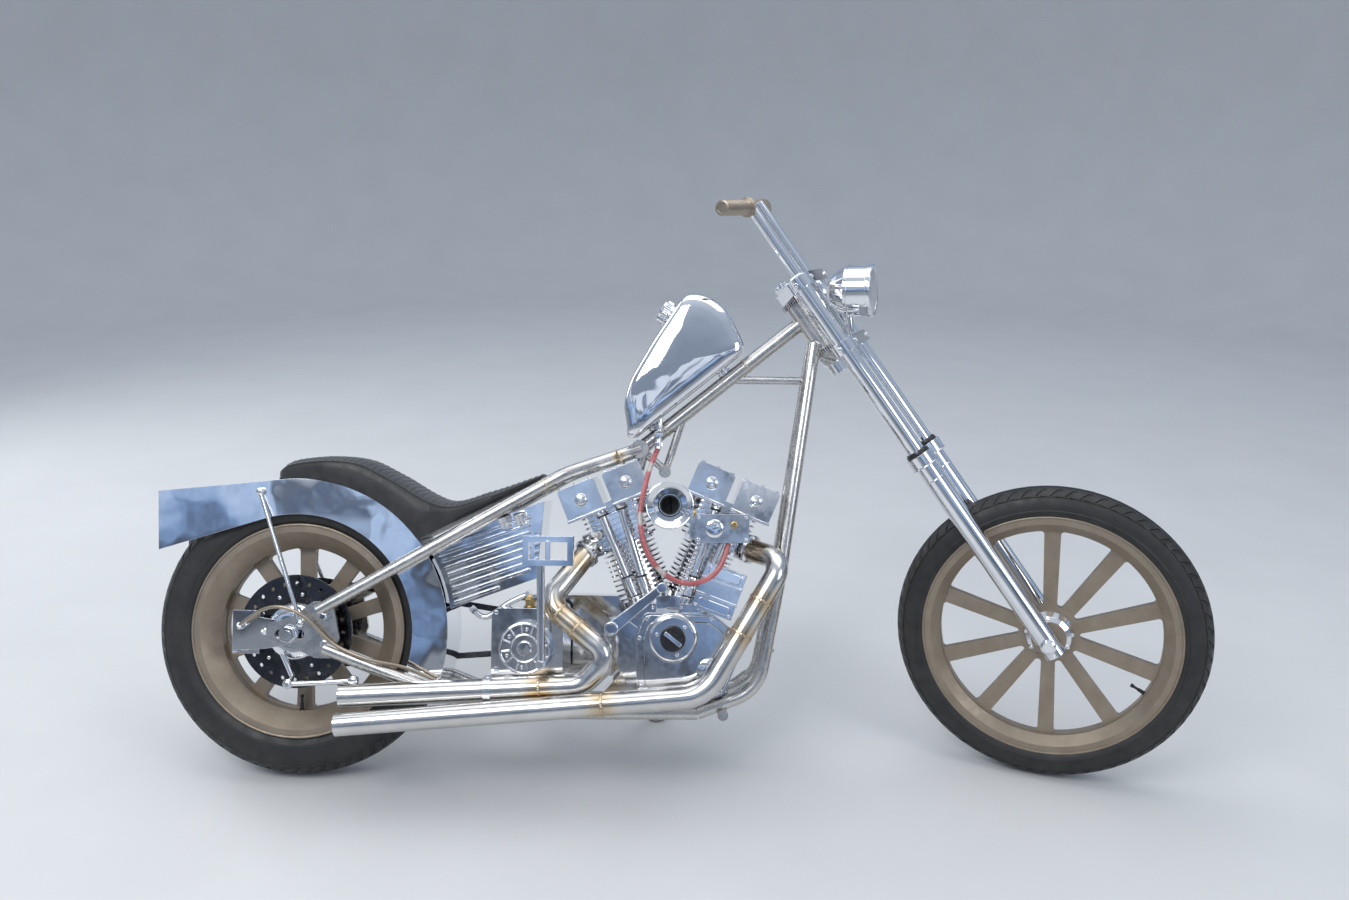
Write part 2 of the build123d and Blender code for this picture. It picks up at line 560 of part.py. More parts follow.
LOWER_CLAMP = NECK_LOW - RUNNING - CLAMP_THICK
UPPER_CLAMP = NECK_HIGH + RUNNING
TUBE_TOP = UPPER_CLAMP + CLAMP_THICK


def clamp(along):
    plane = Plane(on_fork(along), x_dir=AHEAD_FORK, z_dir=UP_FORK)
    circles = Pos(-FORK_OFFSET, 0) * Circle(25)
    for side in (-1, 1):
        circles += Pos(0, side * LEG_SPACING / 2) * Circle(30)
    plate = make_hull(circles.edges())
    return extrude(plane * plate, amount=CLAMP_THICK)


fork_leg_right = fork_leg(-1)
fork_leg_left = fork_leg(1)
lower_clamp = clamp(LOWER_CLAMP)
upper_clamp = clamp(UPPER_CLAMP)
stem = rod(STEER_POINT + UP_FORK * (LOWER_CLAMP - 26), STEER_POINT + UP_FORK * LOWER_CLAMP, 20)
stem += rod(STEER_POINT + UP_FORK * LOWER_CLAMP, STEER_POINT + UP_FORK * (TUBE_TOP + 12), STEM_R)
stem += rod(STEER_POINT + UP_FORK * TUBE_TOP, STEER_POINT + UP_FORK * (TUBE_TOP + 14), 19)
for side in (-1, 1):
    bore = rod(on_fork(400, 0, side * LEG_SPACING / 2), on_fork(1100, 0, side * LEG_SPACING / 2), FORK_TUBE_R)
    lower_clamp -= bore
    upper_clamp -= bore
lower_clamp -= stem
upper_clamp -= stem

handlebar = Part()
grips = Part()
sweep_back = math.radians(GRIP_SWEEP)
for side in (-1, 1):
    y = side * RISER_SPACING / 2
    out = Vector(-math.sin(sweep_back), side * math.cos(sweep_back), -0.02)
    corner = on_fork(RISER_TOP - RISER_R, 0, y)
    handlebar += rod(on_fork(TUBE_TOP, 0, y), on_fork(RISER_TOP, 0, y), RISER_R)
    handlebar += rod(corner, corner + out * (GRIP_LENGTH + 6), 11)
    grips += rod(corner + out * 16, corner + out * (GRIP_LENGTH + 8), GRIP_R)
grips -= handlebar

# Headlight, a bullet with rings at its rim
HEADLIGHT = Vector(1243, 0, 1128)
shell = polygon((0, 58), (56, 58), (58, 50), (56, 0), (-46, 0), (-44, 16), (-34, 32), (-18, 46), (0, 55))
headlight = Pos(*HEADLIGHT) * revolve(Plane.XY * shell, axis=Axis.X)
light_post = rod(on_fork(LOWER_CLAMP + CLAMP_THICK, 12, 0), HEADLIGHT, 8) - headlight

# Side stand, on a pivot below the left rail
STAND_PIVOT = Vector(700, 128, 176)
STAND_REACH = (805.0, 262.0)
FOOT_THICK = 8.0
lean_angle = math.radians(LEAN)
foot_z = (FOOT_THICK / 2 + STAND_REACH[1] * math.sin(lean_angle)) / math.cos(lean_angle)
STAND_FOOT = Vector(STAND_REACH[0], STAND_REACH[1], foot_z)
stand_out = (STAND_FOOT - STAND_PIVOT).normalized()
stand_folded = Vector(-0.985, 0.17, 0.02).normalized()
STAND_AXIS = stand_out.cross(stand_folded).normalized()
STAND_SWING = math.degrees(math.acos(stand_out.dot(stand_folded)))
EYE_HALF = 9.5
stand_eye = rod(STAND_PIVOT - STAND_AXIS * EYE_HALF, STAND_PIVOT + STAND_AXIS * EYE_HALF, 14)
side_stand = stand_eye + rod(STAND_PIVOT, STAND_FOOT, 9)
side_stand -= rod(STAND_PIVOT - STAND_AXIS * 30, STAND_PIVOT + STAND_AXIS * 30, 6 + RUNNING)
side_stand = lean_over(side_stand)
foot_world = lean_over(Vertex(STAND_FOOT.X, STAND_FOOT.Y, STAND_FOOT.Z)).center()
side_stand += Pos(foot_world.X, foot_world.Y, 0) * Cylinder(24, FOOT_THICK, align=(Align.CENTER, Align.CENTER, Align.MIN))
LUG_FROM = EYE_HALF + RUNNING
LUG_THICK = 10.0
lug_centre = STAND_PIVOT - STAND_AXIS * (LUG_FROM + LUG_THICK / 2)
stand_bracket = rod(STAND_PIVOT - STAND_AXIS * LUG_FROM, STAND_PIVOT + STAND_AXIS * (EYE_HALF + 3), 6)
stand_bracket += rod(STAND_PIVOT - STAND_AXIS * (LUG_FROM + LUG_THICK), STAND_PIVOT - STAND_AXIS * LUG_FROM, 14)
stand_bracket += rod(lug_centre, (696, CRADLE_Y + 10, CRADLE_Z), 7)
stand_bracket -= lower_rail_left
lower_clamp = lower_clamp + stem + light_post
gearbox = gearbox + drive_sprocket

CHASSIS = {
    "frame_neck": neck, "frame_top_tube": top_tube,
    "frame_upper_rails": upper_rail_right + upper_rail_left,
    "frame_downtubes": downtube_right + downtube_left,
    "frame_lower_rails": lower_rail_right + lower_rail_left,
    "frame_cross_tubes": cross_tubes, "frame_braces": frame_braces,
    "axle_plates": plate_right + plate_left,
    "rear_axle": rear_axle, "rear_fender": fender, "fender_stays": fender_stays, "seat": seat,
    "fuel_tank": fuel_tank, "fuel_cap": fuel_cap, "oil_tank": oil_tank,
    "crankcase": crankcase, "cam_cover": cam_cover, "timer_cap": timer_cap,
    "cylinder_rear": cylinder_rear, "cylinder_front": cylinder_front,
    "rocker_boxes": rocker_rear + rocker_front,
    "pushrod_tubes": pushrod_tubes, "carburettor": carburettor, "velocity_stack": velocity_stack,
    "magneto": magneto, "exhaust_front": exhaust_front, "exhaust_rear": exhaust_rear,
    "gearbox": gearbox, "gearbox_cover": gearbox_cover, "kick_lever": kick_lever,
    "primary_case": primary_case, "rear_chain": rear_chain,
    "brake_caliper": caliper, "caliper_bracket": caliper_bracket, "foot_control_right": foot_control,
    "stand_bracket": stand_bracket,
}
REAR_WHEEL = {"rear_tyre": rear_tyre, "rear_wheel": rear_wheel, "brake_disc": brake_disc,
              "rear_sprocket": rear_sprocket}
FRONT_END = {
    "front_axle": front_axle, "fork_leg_right": fork_leg_right, "fork_leg_left": fork_leg_left,
    "lower_clamp": lower_clamp, "upper_clamp": upper_clamp,
    "handlebar": handlebar, "grips": grips, "headlight": headlight,
}
FRONT_WHEEL = {"front_tyre": front_tyre, "front_wheel": front_wheel, "front_hub_caps": front_hub_caps}

placed = {name: lean_over(shape) for name, shape in {**CHASSIS, **REAR_WHEEL}.items()}
placed.update({name: steer_and_lean(shape) for name, shape in {**FRONT_END, **FRONT_WHEEL}.items()})
placed["side_stand"] = side_stand

# The origin is under the middle of the whole machine
bounds = Compound(list(placed.values())).bounding_box()
to_origin = Pos(-bounds.center().X, -bounds.center().Y, -bounds.min.Z)
for name, shape in placed.items():
    export_step(to_origin * shape, f"parts/{name}.step")


def say(name, point, direction, steered=False):
    """Prints a point and a direction of the finished machine, for the record."""
    line = Edge.make_line(point, point + direction * 100)
    line = to_origin * (steer_and_lean(line) if steered else lean_over(line))
    start = line @ 0
    end = line @ 1
    way = (end - start).normalized()
    print("POINT", name, *[round(value, 4) for value in (*start, *way)])


say("steering", STEER_POINT + UP_FORK * NECK_LOW, UP_FORK)
say("front_wheel_spin", FRONT_AXLE, Vector(0, 1, 0), True)
say("rear_wheel_spin", REAR_AXLE, Vector(0, 1, 0))
say("side_stand_swing", STAND_PIVOT, STAND_AXIS)
front_end_way = (Vector(*FRONT_PIPE[-1]) - Vector(*FRONT_PIPE[-2])).normalized()
rear_end_way = (Vector(*REAR_PIPE[-1]) - Vector(*REAR_PIPE[-2])).normalized()
say("exhaust_outlet_lower", Vector(*FRONT_PIPE[-1]), front_end_way)
say("exhaust_outlet_upper", Vector(*REAR_PIPE[-1]), rear_end_way)
for side, name in ((-1, "grip_right"), (1, "grip_left")):
    out = Vector(-math.sin(sweep_back), side * math.cos(sweep_back), -0.02).normalized()
    corner = on_fork(RISER_TOP - RISER_R, 0, side * RISER_SPACING / 2)
    say(name, corner + out * (GRIP_LENGTH / 2 + 12), out, True)
say("peg_tube", Vector(718, -150, 366), Vector(0, -1, 0))
print("POINT swing", round(STAND_SWING, 3), 0, 0, 0, 0, 0)
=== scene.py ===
import json
import math
from itertools import product

import bmesh
import bpy
from mathutils import Matrix, Vector


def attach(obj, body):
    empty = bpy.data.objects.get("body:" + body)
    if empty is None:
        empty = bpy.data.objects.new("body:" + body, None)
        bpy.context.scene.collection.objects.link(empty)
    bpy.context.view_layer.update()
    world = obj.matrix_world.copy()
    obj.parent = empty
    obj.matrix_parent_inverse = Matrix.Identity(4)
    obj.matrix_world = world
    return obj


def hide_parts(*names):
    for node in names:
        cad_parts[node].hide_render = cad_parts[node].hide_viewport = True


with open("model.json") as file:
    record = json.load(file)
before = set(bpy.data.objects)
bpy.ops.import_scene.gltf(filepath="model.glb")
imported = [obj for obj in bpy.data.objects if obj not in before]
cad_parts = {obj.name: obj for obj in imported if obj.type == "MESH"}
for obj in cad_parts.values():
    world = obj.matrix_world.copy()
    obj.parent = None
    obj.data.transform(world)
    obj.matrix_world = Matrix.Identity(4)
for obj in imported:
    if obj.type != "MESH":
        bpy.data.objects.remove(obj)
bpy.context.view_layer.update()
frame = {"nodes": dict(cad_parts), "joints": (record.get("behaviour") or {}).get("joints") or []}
nodes = frame["nodes"]
joints = {joint["name"]: joint for joint in frame["joints"]}

# Points are written in millimetres in the bike's own upright axes: x forward from the rear axle,
# y to its left, z up from the ground line. The stance is read from the joints.
MM = 0.001
REAR_AXLE_Z = 336.0
REAR_SPIN = Vector(joints["rear_wheel_spin"]["pos_m"])
REAR_WAY = Vector(joints["rear_wheel_spin"]["axis"])
UP_FORK = Vector(joints["steering"]["axis"]).normalized()
FRONT_SPIN = Vector(joints["front_wheel_spin"]["pos_m"])
FRONT_WAY = Vector(joints["front_wheel_spin"]["axis"]).normalized()
AHEAD_FORK = FRONT_WAY.cross(UP_FORK)
LEAN = math.atan2(-REAR_WAY.z, REAR_WAY.y)
TO_FRAME = Matrix.Rotation(-LEAN, 4, "X")
ORIGIN = REAR_SPIN - TO_FRAME @ Vector((0, 0, REAR_AXLE_Z * MM))

# Directions in the bike's own axes, and the bodies that turn
AHEAD, LEFT, RIGHT, UP = (1, 0, 0), (0, 1, 0), (0, -1, 0), (0, 0, 1)
FRONT_WHEEL, REAR_WHEEL, FRONT_END = "front_wheel_assembly", "rear_wheel_assembly", "front_end"

# Sizes that the pieces share with the frame
CRANK = (836.0, 309.0)
V_HALF_ANGLE = 22.5
JUNCTION = (767.0, 757.0)
TOP_TUBE_WAY = (0.7787, 0.6274)
FRONT_TYRE = (298.0, 42.6, 280.0)
REAR_TYRE = (270.5, 62.0, 242.0)
PIPE_R = 25.0


def at(x, y, z):
    """A point of the upright bike, in the frame's metres."""
    return ORIGIN + TO_FRAME @ Vector((x * MM, y * MM, z * MM))


def on_fork(ahead, side, along):
    """A point in the turned fork's directions, from the front axle."""
    return FRONT_SPIN + (AHEAD_FORK * ahead + FRONT_WAY * side + UP_FORK * along) * MM


def on_rear_wheel(x, y, z):
    return at(x, y, REAR_AXLE_Z + z)


def turned(middle, degrees, x, z):
    """A point in x and z, turned round a middle so that its front end drops."""
    turn = math.radians(degrees)
    return (middle[0] + x * math.cos(turn) + z * math.sin(turn),
            middle[1] - x * math.sin(turn) + z * math.cos(turn))


def tilted(middle, degrees):
    """Places points round a middle in x and z, turned so that their front end drops."""
    def place(x, y, z):
        x, z = turned(middle, degrees, x, z)
        return at(x, y, z)
    return place


def on_cylinder(side):
    """Places points of a cylinder, z up from the crank: side -1 is the rear one, 1 the front."""
    return tilted(CRANK, side * V_HALF_ANGLE)


def on_top_tube(along, up):
    """A point in x and z from the frame's junction, along the top tube and square to it."""
    return (JUNCTION[0] + TOP_TUBE_WAY[0] * along - TOP_TUBE_WAY[1] * up,
            JUNCTION[1] + TOP_TUBE_WAY[1] * along + TOP_TUBE_WAY[0] * up)


def around(degrees, radius, middle=(0, 0)):
    """A point in x and z round a middle."""
    turn = math.radians(degrees)
    return middle[0] + radius * math.cos(turn), middle[1] + radius * math.sin(turn)


def spots(count, first, radius, middle=(0, 0)):
    """Evenly spread points in x and z round a middle. First is the first one's angle in degrees."""
    return [around(first + 360 / count * number, radius, middle) for number in range(count)]


def aside(spot, y):
    """A point in x and z, at a distance y to the side."""
    return spot[0], y, spot[1]


# Making outlines and pieces


def rounded(outline, radius, steps=4):
    """An outline with its corners rounded off."""
    result = []
    for number, here in enumerate(outline):
        here = Vector(here)
        before = Vector(outline[number - 1]) - here
        after = Vector(outline[(number + 1) % len(outline)]) - here
        reach = min(radius, before.length * 0.45, after.length * 0.45)
        start, end = here + before.normalized() * reach, here + after.normalized() * reach
        for step in range(steps + 1):
            share = step / steps
            result.append(tuple(start * (1 - share) ** 2 + here * 2 * share * (1 - share) + end * share ** 2))
    return result


def inset(outline, distance):
    """An outline moved inwards by a distance."""
    area = sum(a[0] * b[1] - b[0] * a[1] for a, b in zip(outline, outline[1:] + outline[:1]))
    hand = 1 if area > 0 else -1
    result = []
    for number, here in enumerate(outline):
        before = (Vector(here) - Vector(outline[number - 1])).normalized()
        after = (Vector(outline[(number + 1) % len(outline)]) - Vector(here)).normalized()
        way = Vector((-before.y - after.y, before.x + after.x))
        if way.length < 1e-6:
            way = Vector((-before.y, before.x))
        way.normalize()
        square = Vector((-before.y, before.x)).dot(way)
        result.append(tuple(Vector(here) + way * hand * distance / max(square, 0.5)))
    return result


def hull(*circles, steps=10):
    """The outline round circles given as x, z and radius, by turning a line round them."""
    result = []
    for step in range(4 * steps):
        turn = 2 * math.pi * step / (4 * steps)
        way = Vector((math.cos(turn), math.sin(turn)))
        x, z, radius = max(circles, key=lambda circle: way.dot(Vector(circle[:2])) + circle[2])
        result.append((x + way.x * radius, z + way.y * radius))
    return result


def is_inside(outline, x, z):
    crossings = 0
    for (ax, az), (bx, bz) in zip(outline, outline[1:] + outline[:1]):
        if (az > z) != (bz > z) and x < ax + (z - az) * (bx - ax) / (bz - az):
            crossings += 1
    return crossings % 2 == 1


def add_object(name, data):
    piece = bpy.data.objects.new(name, data)
    bpy.context.scene.collection.objects.link(piece)
    return piece


class Piece:
    """Collects faces in millimetres and makes a single object of them."""

    def __init__(self, place=at):
        self.place = place
        self.points = []
        self.faces = []

    def add(self, points, faces):
        start = len(self.points)
        self.points.extend(self.place(*point) for point in points)
        for face in faces:
            corners = tuple(dict.fromkeys(start + corner for corner in face))
            if len(corners) > 2:
                self.faces.append(corners)
        return self

    def grid(self, rows, loop=False):
        """Faces between closed rows of points. Loop joins the last row to the first, else both are capped."""
        across = len(rows[0])
        points = [point for row in rows for point in row]
        faces = []
        for number in range(len(rows) if loop else len(rows) - 1):
            low, high = number * across, (number + 1) % len(rows) * across
            for step in range(across):
                after = (step + 1) % across
                faces.append((low + step, low + after, high + after, high + step))
        if not loop:
            faces.append(tuple(reversed(range(across))))
            faces.append(tuple(range((len(rows) - 1) * across, len(rows) * across)))
        return self.add(points, faces)

    def lathe(self, base, way, profile, count=24, ring=False, flutes=0, depth=0.0):
        """Turns a profile of radius and distance round a line. A ring's profile closes on itself."""
        base, way = Vector(base), Vector(way).normalized()
        across = way.orthogonal().normalized()
        other = way.cross(across)
        points, rows = [], []
        for radius, along in profile:
            middle = base + way * along
            if radius == 0:
                rows.append([len(points)] * count)
                points.append(middle)
                continue
            rows.append(range(len(points), len(points) + count))
            for number in range(count):
                turn = 2 * math.pi * number / count
                reach = radius - depth * (0.5 + 0.5 * math.cos(flutes * turn)) if flutes else radius
                points.append(middle + (across * math.cos(turn) + other * math.sin(turn)) * reach)
        if ring:
            rows.append(rows[0])
        faces = []
        for low, high in zip(rows, rows[1:]):
            for number in range(count):
                after = (number + 1) % count
                faces.append((low[number], low[after], high[after], high[number]))
        return self.add(points, faces)

    def ring(self, base, way, radius, thick, count=40):
        """A round bead, eight-sided in section."""
        profile = [(radius + thick * math.cos(math.pi * step / 4), thick * math.sin(math.pi * step / 4))
                   for step in range(8)]
        return self.lathe(base, way, profile, count, ring=True)

    def slab(self, outline, y_from, y_to, cut=1.2):
        """An outline in x and z between two y planes, with its long edges cut off."""
        small = inset(outline, cut)
        rows = [[(x, y, z) for x, z in shape] for shape, y in (
            (small, y_from), (outline, y_from + cut), (outline, y_to - cut), (small, y_to))]
        return self.grid(rows)

    def box(self, low, high, cut=1.2, radius=3.0):
        corners = [(low[0], low[2]), (high[0], low[2]), (high[0], high[2]), (low[0], high[2])]
        return self.slab(rounded(corners, radius), low[1], high[1], cut)

    def tube(self, points, radius, count=14):
        """A round bar or pipe along points."""
        points = [Vector(point) for point in points]
        normal = (points[1] - points[0]).orthogonal().normalized()
        rows = []
        for number, here in enumerate(points):
            way = (points[min(number + 1, len(points) - 1)] - points[max(number - 1, 0)]).normalized()
            normal = (normal - way * normal.dot(way)).normalized()
            other = way.cross(normal)
            rows.append([here + (normal * math.cos(turn) + other * math.sin(turn)) * radius
                         for turn in (2 * math.pi * step / count for step in range(count))])
        return self.grid(rows)

    def screw(self, base, way, radius=5.0, high=4.0, deep=1.0):
        """A socket screw with a round edge."""
        edge = radius * 0.2
        profile = ((0, -deep), (radius, -deep), (radius, high - edge), (radius - edge, high),
                   (radius * 0.55, high), (radius * 0.48, high - radius * 0.5), (0, high - radius * 0.5))
        return self.lathe(base, way, profile, 18)

    def screws(self, places, y, way, *sizes):
        """Screws at places in x and z, with radius, height and depth as sizes."""
        for place in places:
            self.screw(aside(place, y), way, *sizes)
        return self

    def dome(self, base, way, radius, high, deep=1.0):
        """A round-headed screw."""
        profile = [(0, -deep), (radius, -deep), (radius, high * 0.25)]
        profile += [(radius * math.cos(math.radians(a)), high * (0.25 + 0.75 * math.sin(math.radians(a))))
                    for a in (20, 40, 60, 75)]
        profile.append((0, high))
        return self.lathe(base, way, profile, 20)

    def nut(self, base, way, radius, high, deep=1.0):
        """A six-sided nut or bolt head on a washer."""
        self.lathe(base, way, ((0, -deep), (radius * 1.15, -deep), (radius * 1.15, 1.2), (0, 1.2)), 24)
        profile = ((0, 0), (radius, 0), (radius, high - 0.8), (radius - 1, high), (0, high))
        return self.lathe(base, way, profile, 6)

    def weld(self, base, way, radius, bead=2.4):
        """A ring of weld with its small steps."""
        base, way = Vector(base), Vector(way).normalized()
        across = way.orthogonal().normalized()
        other = way.cross(across)
        count = int(2 * math.pi * radius / 1.1)
        rows = []
        for number in range(count):
            turn = 2 * math.pi * number / count
            out = across * math.cos(turn) + other * math.sin(turn)
            thick = bead * (0.8 + 0.2 * math.cos(turn * round(radius * 1.6)))
            rows.append([base + out * (radius + thick * 0.6 * math.cos(a)) + way * thick * 1.5 * math.sin(a)
                         for a in (2 * math.pi * step / 8 for step in range(8))])
        return self.grid(rows, loop=True)

    def make(self, name, material, like, body="chassis", sharp=32.0):
        """The object: it moves with a body and takes the given material. Like is not used."""
        mesh = bpy.data.meshes.new(name)
        mesh.from_pydata([tuple(point) for point in self.points], [], self.faces)
        tidy = bmesh.new()
        tidy.from_mesh(mesh)
        bmesh.ops.recalc_face_normals(tidy, faces=tidy.faces)
        tidy.to_mesh(mesh)
        tidy.free()
        mesh.polygons.foreach_set("use_smooth", [True] * len(mesh.polygons))
        mesh.set_sharp_from_angle(angle=math.radians(sharp))
        mesh.materials.append(material)
        piece = add_object(name, mesh)
        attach(piece, body)
        return piece


# Materials, built from noise so that no surface is one flat colour


def fill_ramp(bar, stops):
    while len(bar.elements) < len(stops):
        bar.elements.new(0.5)
    for element, (place, colour) in zip(bar.elements, stops):
        element.position = place
        element.color = (*colour, 1.0)


class Shader:
    """A node material with a Principled shader and a few short helpers."""

    def __init__(self, name):
        self.material = bpy.data.materials.new(name)
        self.material.use_nodes = True
        self.tree = self.material.node_tree
        self.surface = self.tree.nodes["Principled BSDF"]
        self.coords = self.tree.nodes.new("ShaderNodeTexCoord").outputs["Object"]

    def set(self, **values):
        for name, value in values.items():
            self.surface.inputs[name.replace("_", " ")].default_value = value
        return self

    def link(self, source, target):
        self.tree.links.new(source, target)

    def node(self, kind, inputs, **settings):
        """A new node. Its inputs, by name or number, take a value or another node's output."""
        node = self.tree.nodes.new("ShaderNode" + kind)
        for name, value in settings.items():
            setattr(node, name, value)
        for name, value in inputs.items():
            if isinstance(value, bpy.types.NodeSocket):
                self.link(value, node.inputs[name])
            else:
                node.inputs[name].default_value = value
        return node

    def stretched(self, scale):
        return self.node("Mapping", {"Scale": scale, "Vector": self.coords}).outputs["Vector"]

    def noise(self, scale, detail=4.0, rough=0.5, vector=None):
        inputs = {"Scale": scale, "Detail": detail, "Roughness": rough, "Vector": vector or self.coords}
        return self.node("TexNoise", inputs).outputs["Fac"]

    def voronoi(self, scale):
        return self.node("TexVoronoi", {"Scale": scale, "Vector": self.coords}).outputs["Distance"]

    def ramp(self, factor, *stops):
        node = self.node("ValToRGB", {"Fac": factor})
        fill_ramp(node.color_ramp, stops)
        return node.outputs["Color"]

    def range(self, factor, low, high, start=0.35, end=0.65):
        inputs = {"From Min": start, "From Max": end, "To Min": low, "To Max": high, "Value": factor}
        return self.node("MapRange", inputs).outputs["Result"]

    def nearness(self, places, reach):
        """1 at any of the places, 0 beyond the reach, in metres."""
        total = None
        for place in places:
            away = self.node("VectorMath", {0: self.coords, 1: place}, operation="DISTANCE")
            near = self.range(away.outputs["Value"], 1.0, 0.0, 0.0, reach)
            if total is None:
                total = near
            else:
                total = self.node("Math", {0: total, 1: near}, operation="MAXIMUM").outputs["Value"]
        return total

    def mix(self, factor, first, second):
        return self.node("Mix", {0: factor, 6: first, 7: second}, data_type="RGBA").outputs[2]

    def bevel(self, radius=0.0012):
        node = self.node("Bevel", {"Radius": radius}, samples=4)
        self.link(node.outputs["Normal"], self.surface.inputs["Normal"])
        return self

    def bump(self, height, strength, distance=0.001):
        node = self.node("Bump", {"Strength": strength, "Distance": distance, "Height": height})
        previous = self.surface.inputs["Normal"]
        if previous.links:
            self.link(previous.links[0].from_socket, node.inputs["Normal"])
        self.link(node.outputs["Normal"], previous)
        return self

    def colour(self, source):
        self.link(source, self.surface.inputs["Base Color"])
        return self

    def rough(self, source):
        self.link(source, self.surface.inputs["Roughness"])
        return self


# Colours of steel from far off its heat to the hottest place
HEAT_COLOURS = ((0.30, (0.66, 0.60, 0.48)), (0.55, (0.60, 0.46, 0.28)), (0.80, (0.42, 0.29, 0.19)),
                (1.0, (0.36, 0.28, 0.24)))
# Scale, detail and roughness of the noises
CLOUDS = (9.0, 5.0, 0.6)
SMEARS = (46.0, 3.0, 0.6)
WAVES = (14.0, 1.0, 0.4)
GRAIN = (900.0, 2.0, 0.6)


def metal(name, dark, light, rough_low, rough_high, wave=0.0, grain=0.0, grain_scale=(1, 1, 1),
          tint=(), reach=0.05):
    """A bare metal with soft changes of colour and roughness. Heat coloured it at the places of tint."""
    shader = Shader(name).set(Metallic=1.0).bevel()
    base = shader.ramp(shader.noise(*CLOUDS), (0.3, dark), (0.7, light))
    if tint:
        near = shader.nearness(tint, reach)
        heat = shader.ramp(near, (0.0, light), *HEAT_COLOURS)
        base = shader.mix(shader.range(near, 0.0, 0.85, 0.0, 0.6), base, heat)
    shader.colour(base)
    shader.rough(shader.range(shader.noise(*SMEARS), rough_low, rough_high))
    if wave:
        shader.bump(shader.noise(*WAVES), wave, 0.004)
    if grain:
        shader.bump(shader.noise(*GRAIN, shader.stretched(grain_scale)), grain, 0.0004)
    return shader.material


# Where the frame and the pipes are welded
PIPE_WELDS = (((1040, -144, 426), (-173, -46, -288)), ((997, -155, 354), (-173, -46, -288)),
              ((640, -133, 360), (144, -24, -114)), ((600, -127, 392), (144, -24, -114)),
              ((560, -139, 231), (-524, -16, -28)), ((700, -177, 204), (-791, -2, -72)))
HEAT = [at(*place) for place, way in PIPE_WELDS] + [at(1040, -78, 528), at(632, -70, 494)]
FRAME_WELDS = (((825, 0, 804), (251, 0, 204), 17.4), ((1010, 0, 953), (251, 0, 204), 17.4),
               ((722, -54, 739), (167, 42, 60), 15.4), ((722, 54, 739), (167, -42, 60), 15.4),
               ((560, -79, 674), (538, 36, 309), 15.4), ((560, 79, 674), (538, -36, 309), 15.4),
               ((440, -89, 168), AHEAD, 15.4), ((520, -97, 168), (465, 26, 0), 15.4),
               ((1060, -67, 310), (49, 12, 260), 15.4), ((1060, 67, 310), (49, -12, 260), 15.4))

CHROME = metal("chrome", (0.78, 0.79, 0.81), (0.88, 0.89, 0.91), 0.02, 0.06, wave=0.02)
PANEL = metal("chromed_panel", (0.80, 0.81, 0.84), (0.89, 0.90, 0.92), 0.015, 0.05, wave=0.22)
POLISHED = metal("polished_alloy", (0.74, 0.74, 0.75), (0.86, 0.86, 0.87), 0.05, 0.15, wave=0.05)
SATIN = metal("satin_steel", (0.50, 0.485, 0.465), (0.66, 0.645, 0.62), 0.20, 0.34, grain=0.12,
              grain_scale=(1, 6, 1), tint=[at(*place) for place, way, radius in FRAME_WELDS], reach=0.024)
PIPES = metal("pipe_steel", (0.55, 0.54, 0.525), (0.71, 0.70, 0.685), 0.13, 0.26, grain=0.08, tint=HEAT,
              reach=0.062)
BLACKED = metal("blackened_steel", (0.05, 0.05, 0.055), (0.10, 0.10, 0.11), 0.18, 0.32, wave=0.02)
BRASS = metal("brass", (0.55, 0.38, 0.16), (0.68, 0.50, 0.24), 0.14, 0.26)


def bronze_paint():
    shader = Shader("bronze_paint").set(Metallic=0.55, Coat_Weight=0.12, Coat_Roughness=0.35).bevel()
    cloud = shader.noise(22.0, 6.0, 0.62)
    shader.colour(shader.ramp(cloud, (0.3, (0.275, 0.222, 0.165)), (0.7, (0.345, 0.285, 0.22))))
    shader.rough(shader.range(shader.noise(70.0), 0.38, 0.52))
    return shader.bump(shader.noise(420.0, 3.0, 0.6), 0.22, 0.0004).material


def rubber():
    shader = Shader("rubber")
    cloud = shader.noise(11.0, 6.0, 0.65)
    shader.colour(shader.ramp(cloud, (0.3, (0.012, 0.012, 0.013)), (0.75, (0.034, 0.033, 0.031))))
    shader.rough(shader.range(shader.noise(38.0), 0.42, 0.66))
    return shader.bump(shader.noise(700.0, 3.0, 0.6), 0.25, 0.0004).material


def leather():
    shader = Shader("black_leather").set(Sheen_Weight=0.15, Sheen_Roughness=0.5)
    cloud = shader.noise(15.0, 5.0, 0.6)
    shader.colour(shader.ramp(cloud, (0.3, (0.016, 0.016, 0.017)), (0.7, (0.040, 0.039, 0.038))))
    shader.rough(shader.range(shader.noise(60.0), 0.38, 0.54))
    shader.bump(shader.voronoi(620.0), 0.30, 0.0005)
    return shader.bump(shader.noise(240.0, 4.0, 0.6), 0.20, 0.0005).material


def plastic(name, dark, light, rough=(0.25, 0.4)):
    shader = Shader(name)
    shader.colour(shader.ramp(shader.noise(40.0), (0.3, dark), (0.7, light)))
    return shader.rough(shader.range(shader.noise(90.0), *rough)).material


# Where the fuel hose is paler
PALE_PLACES = ((793, -85, 713), (777, -149, 601), (819, -159, 485))


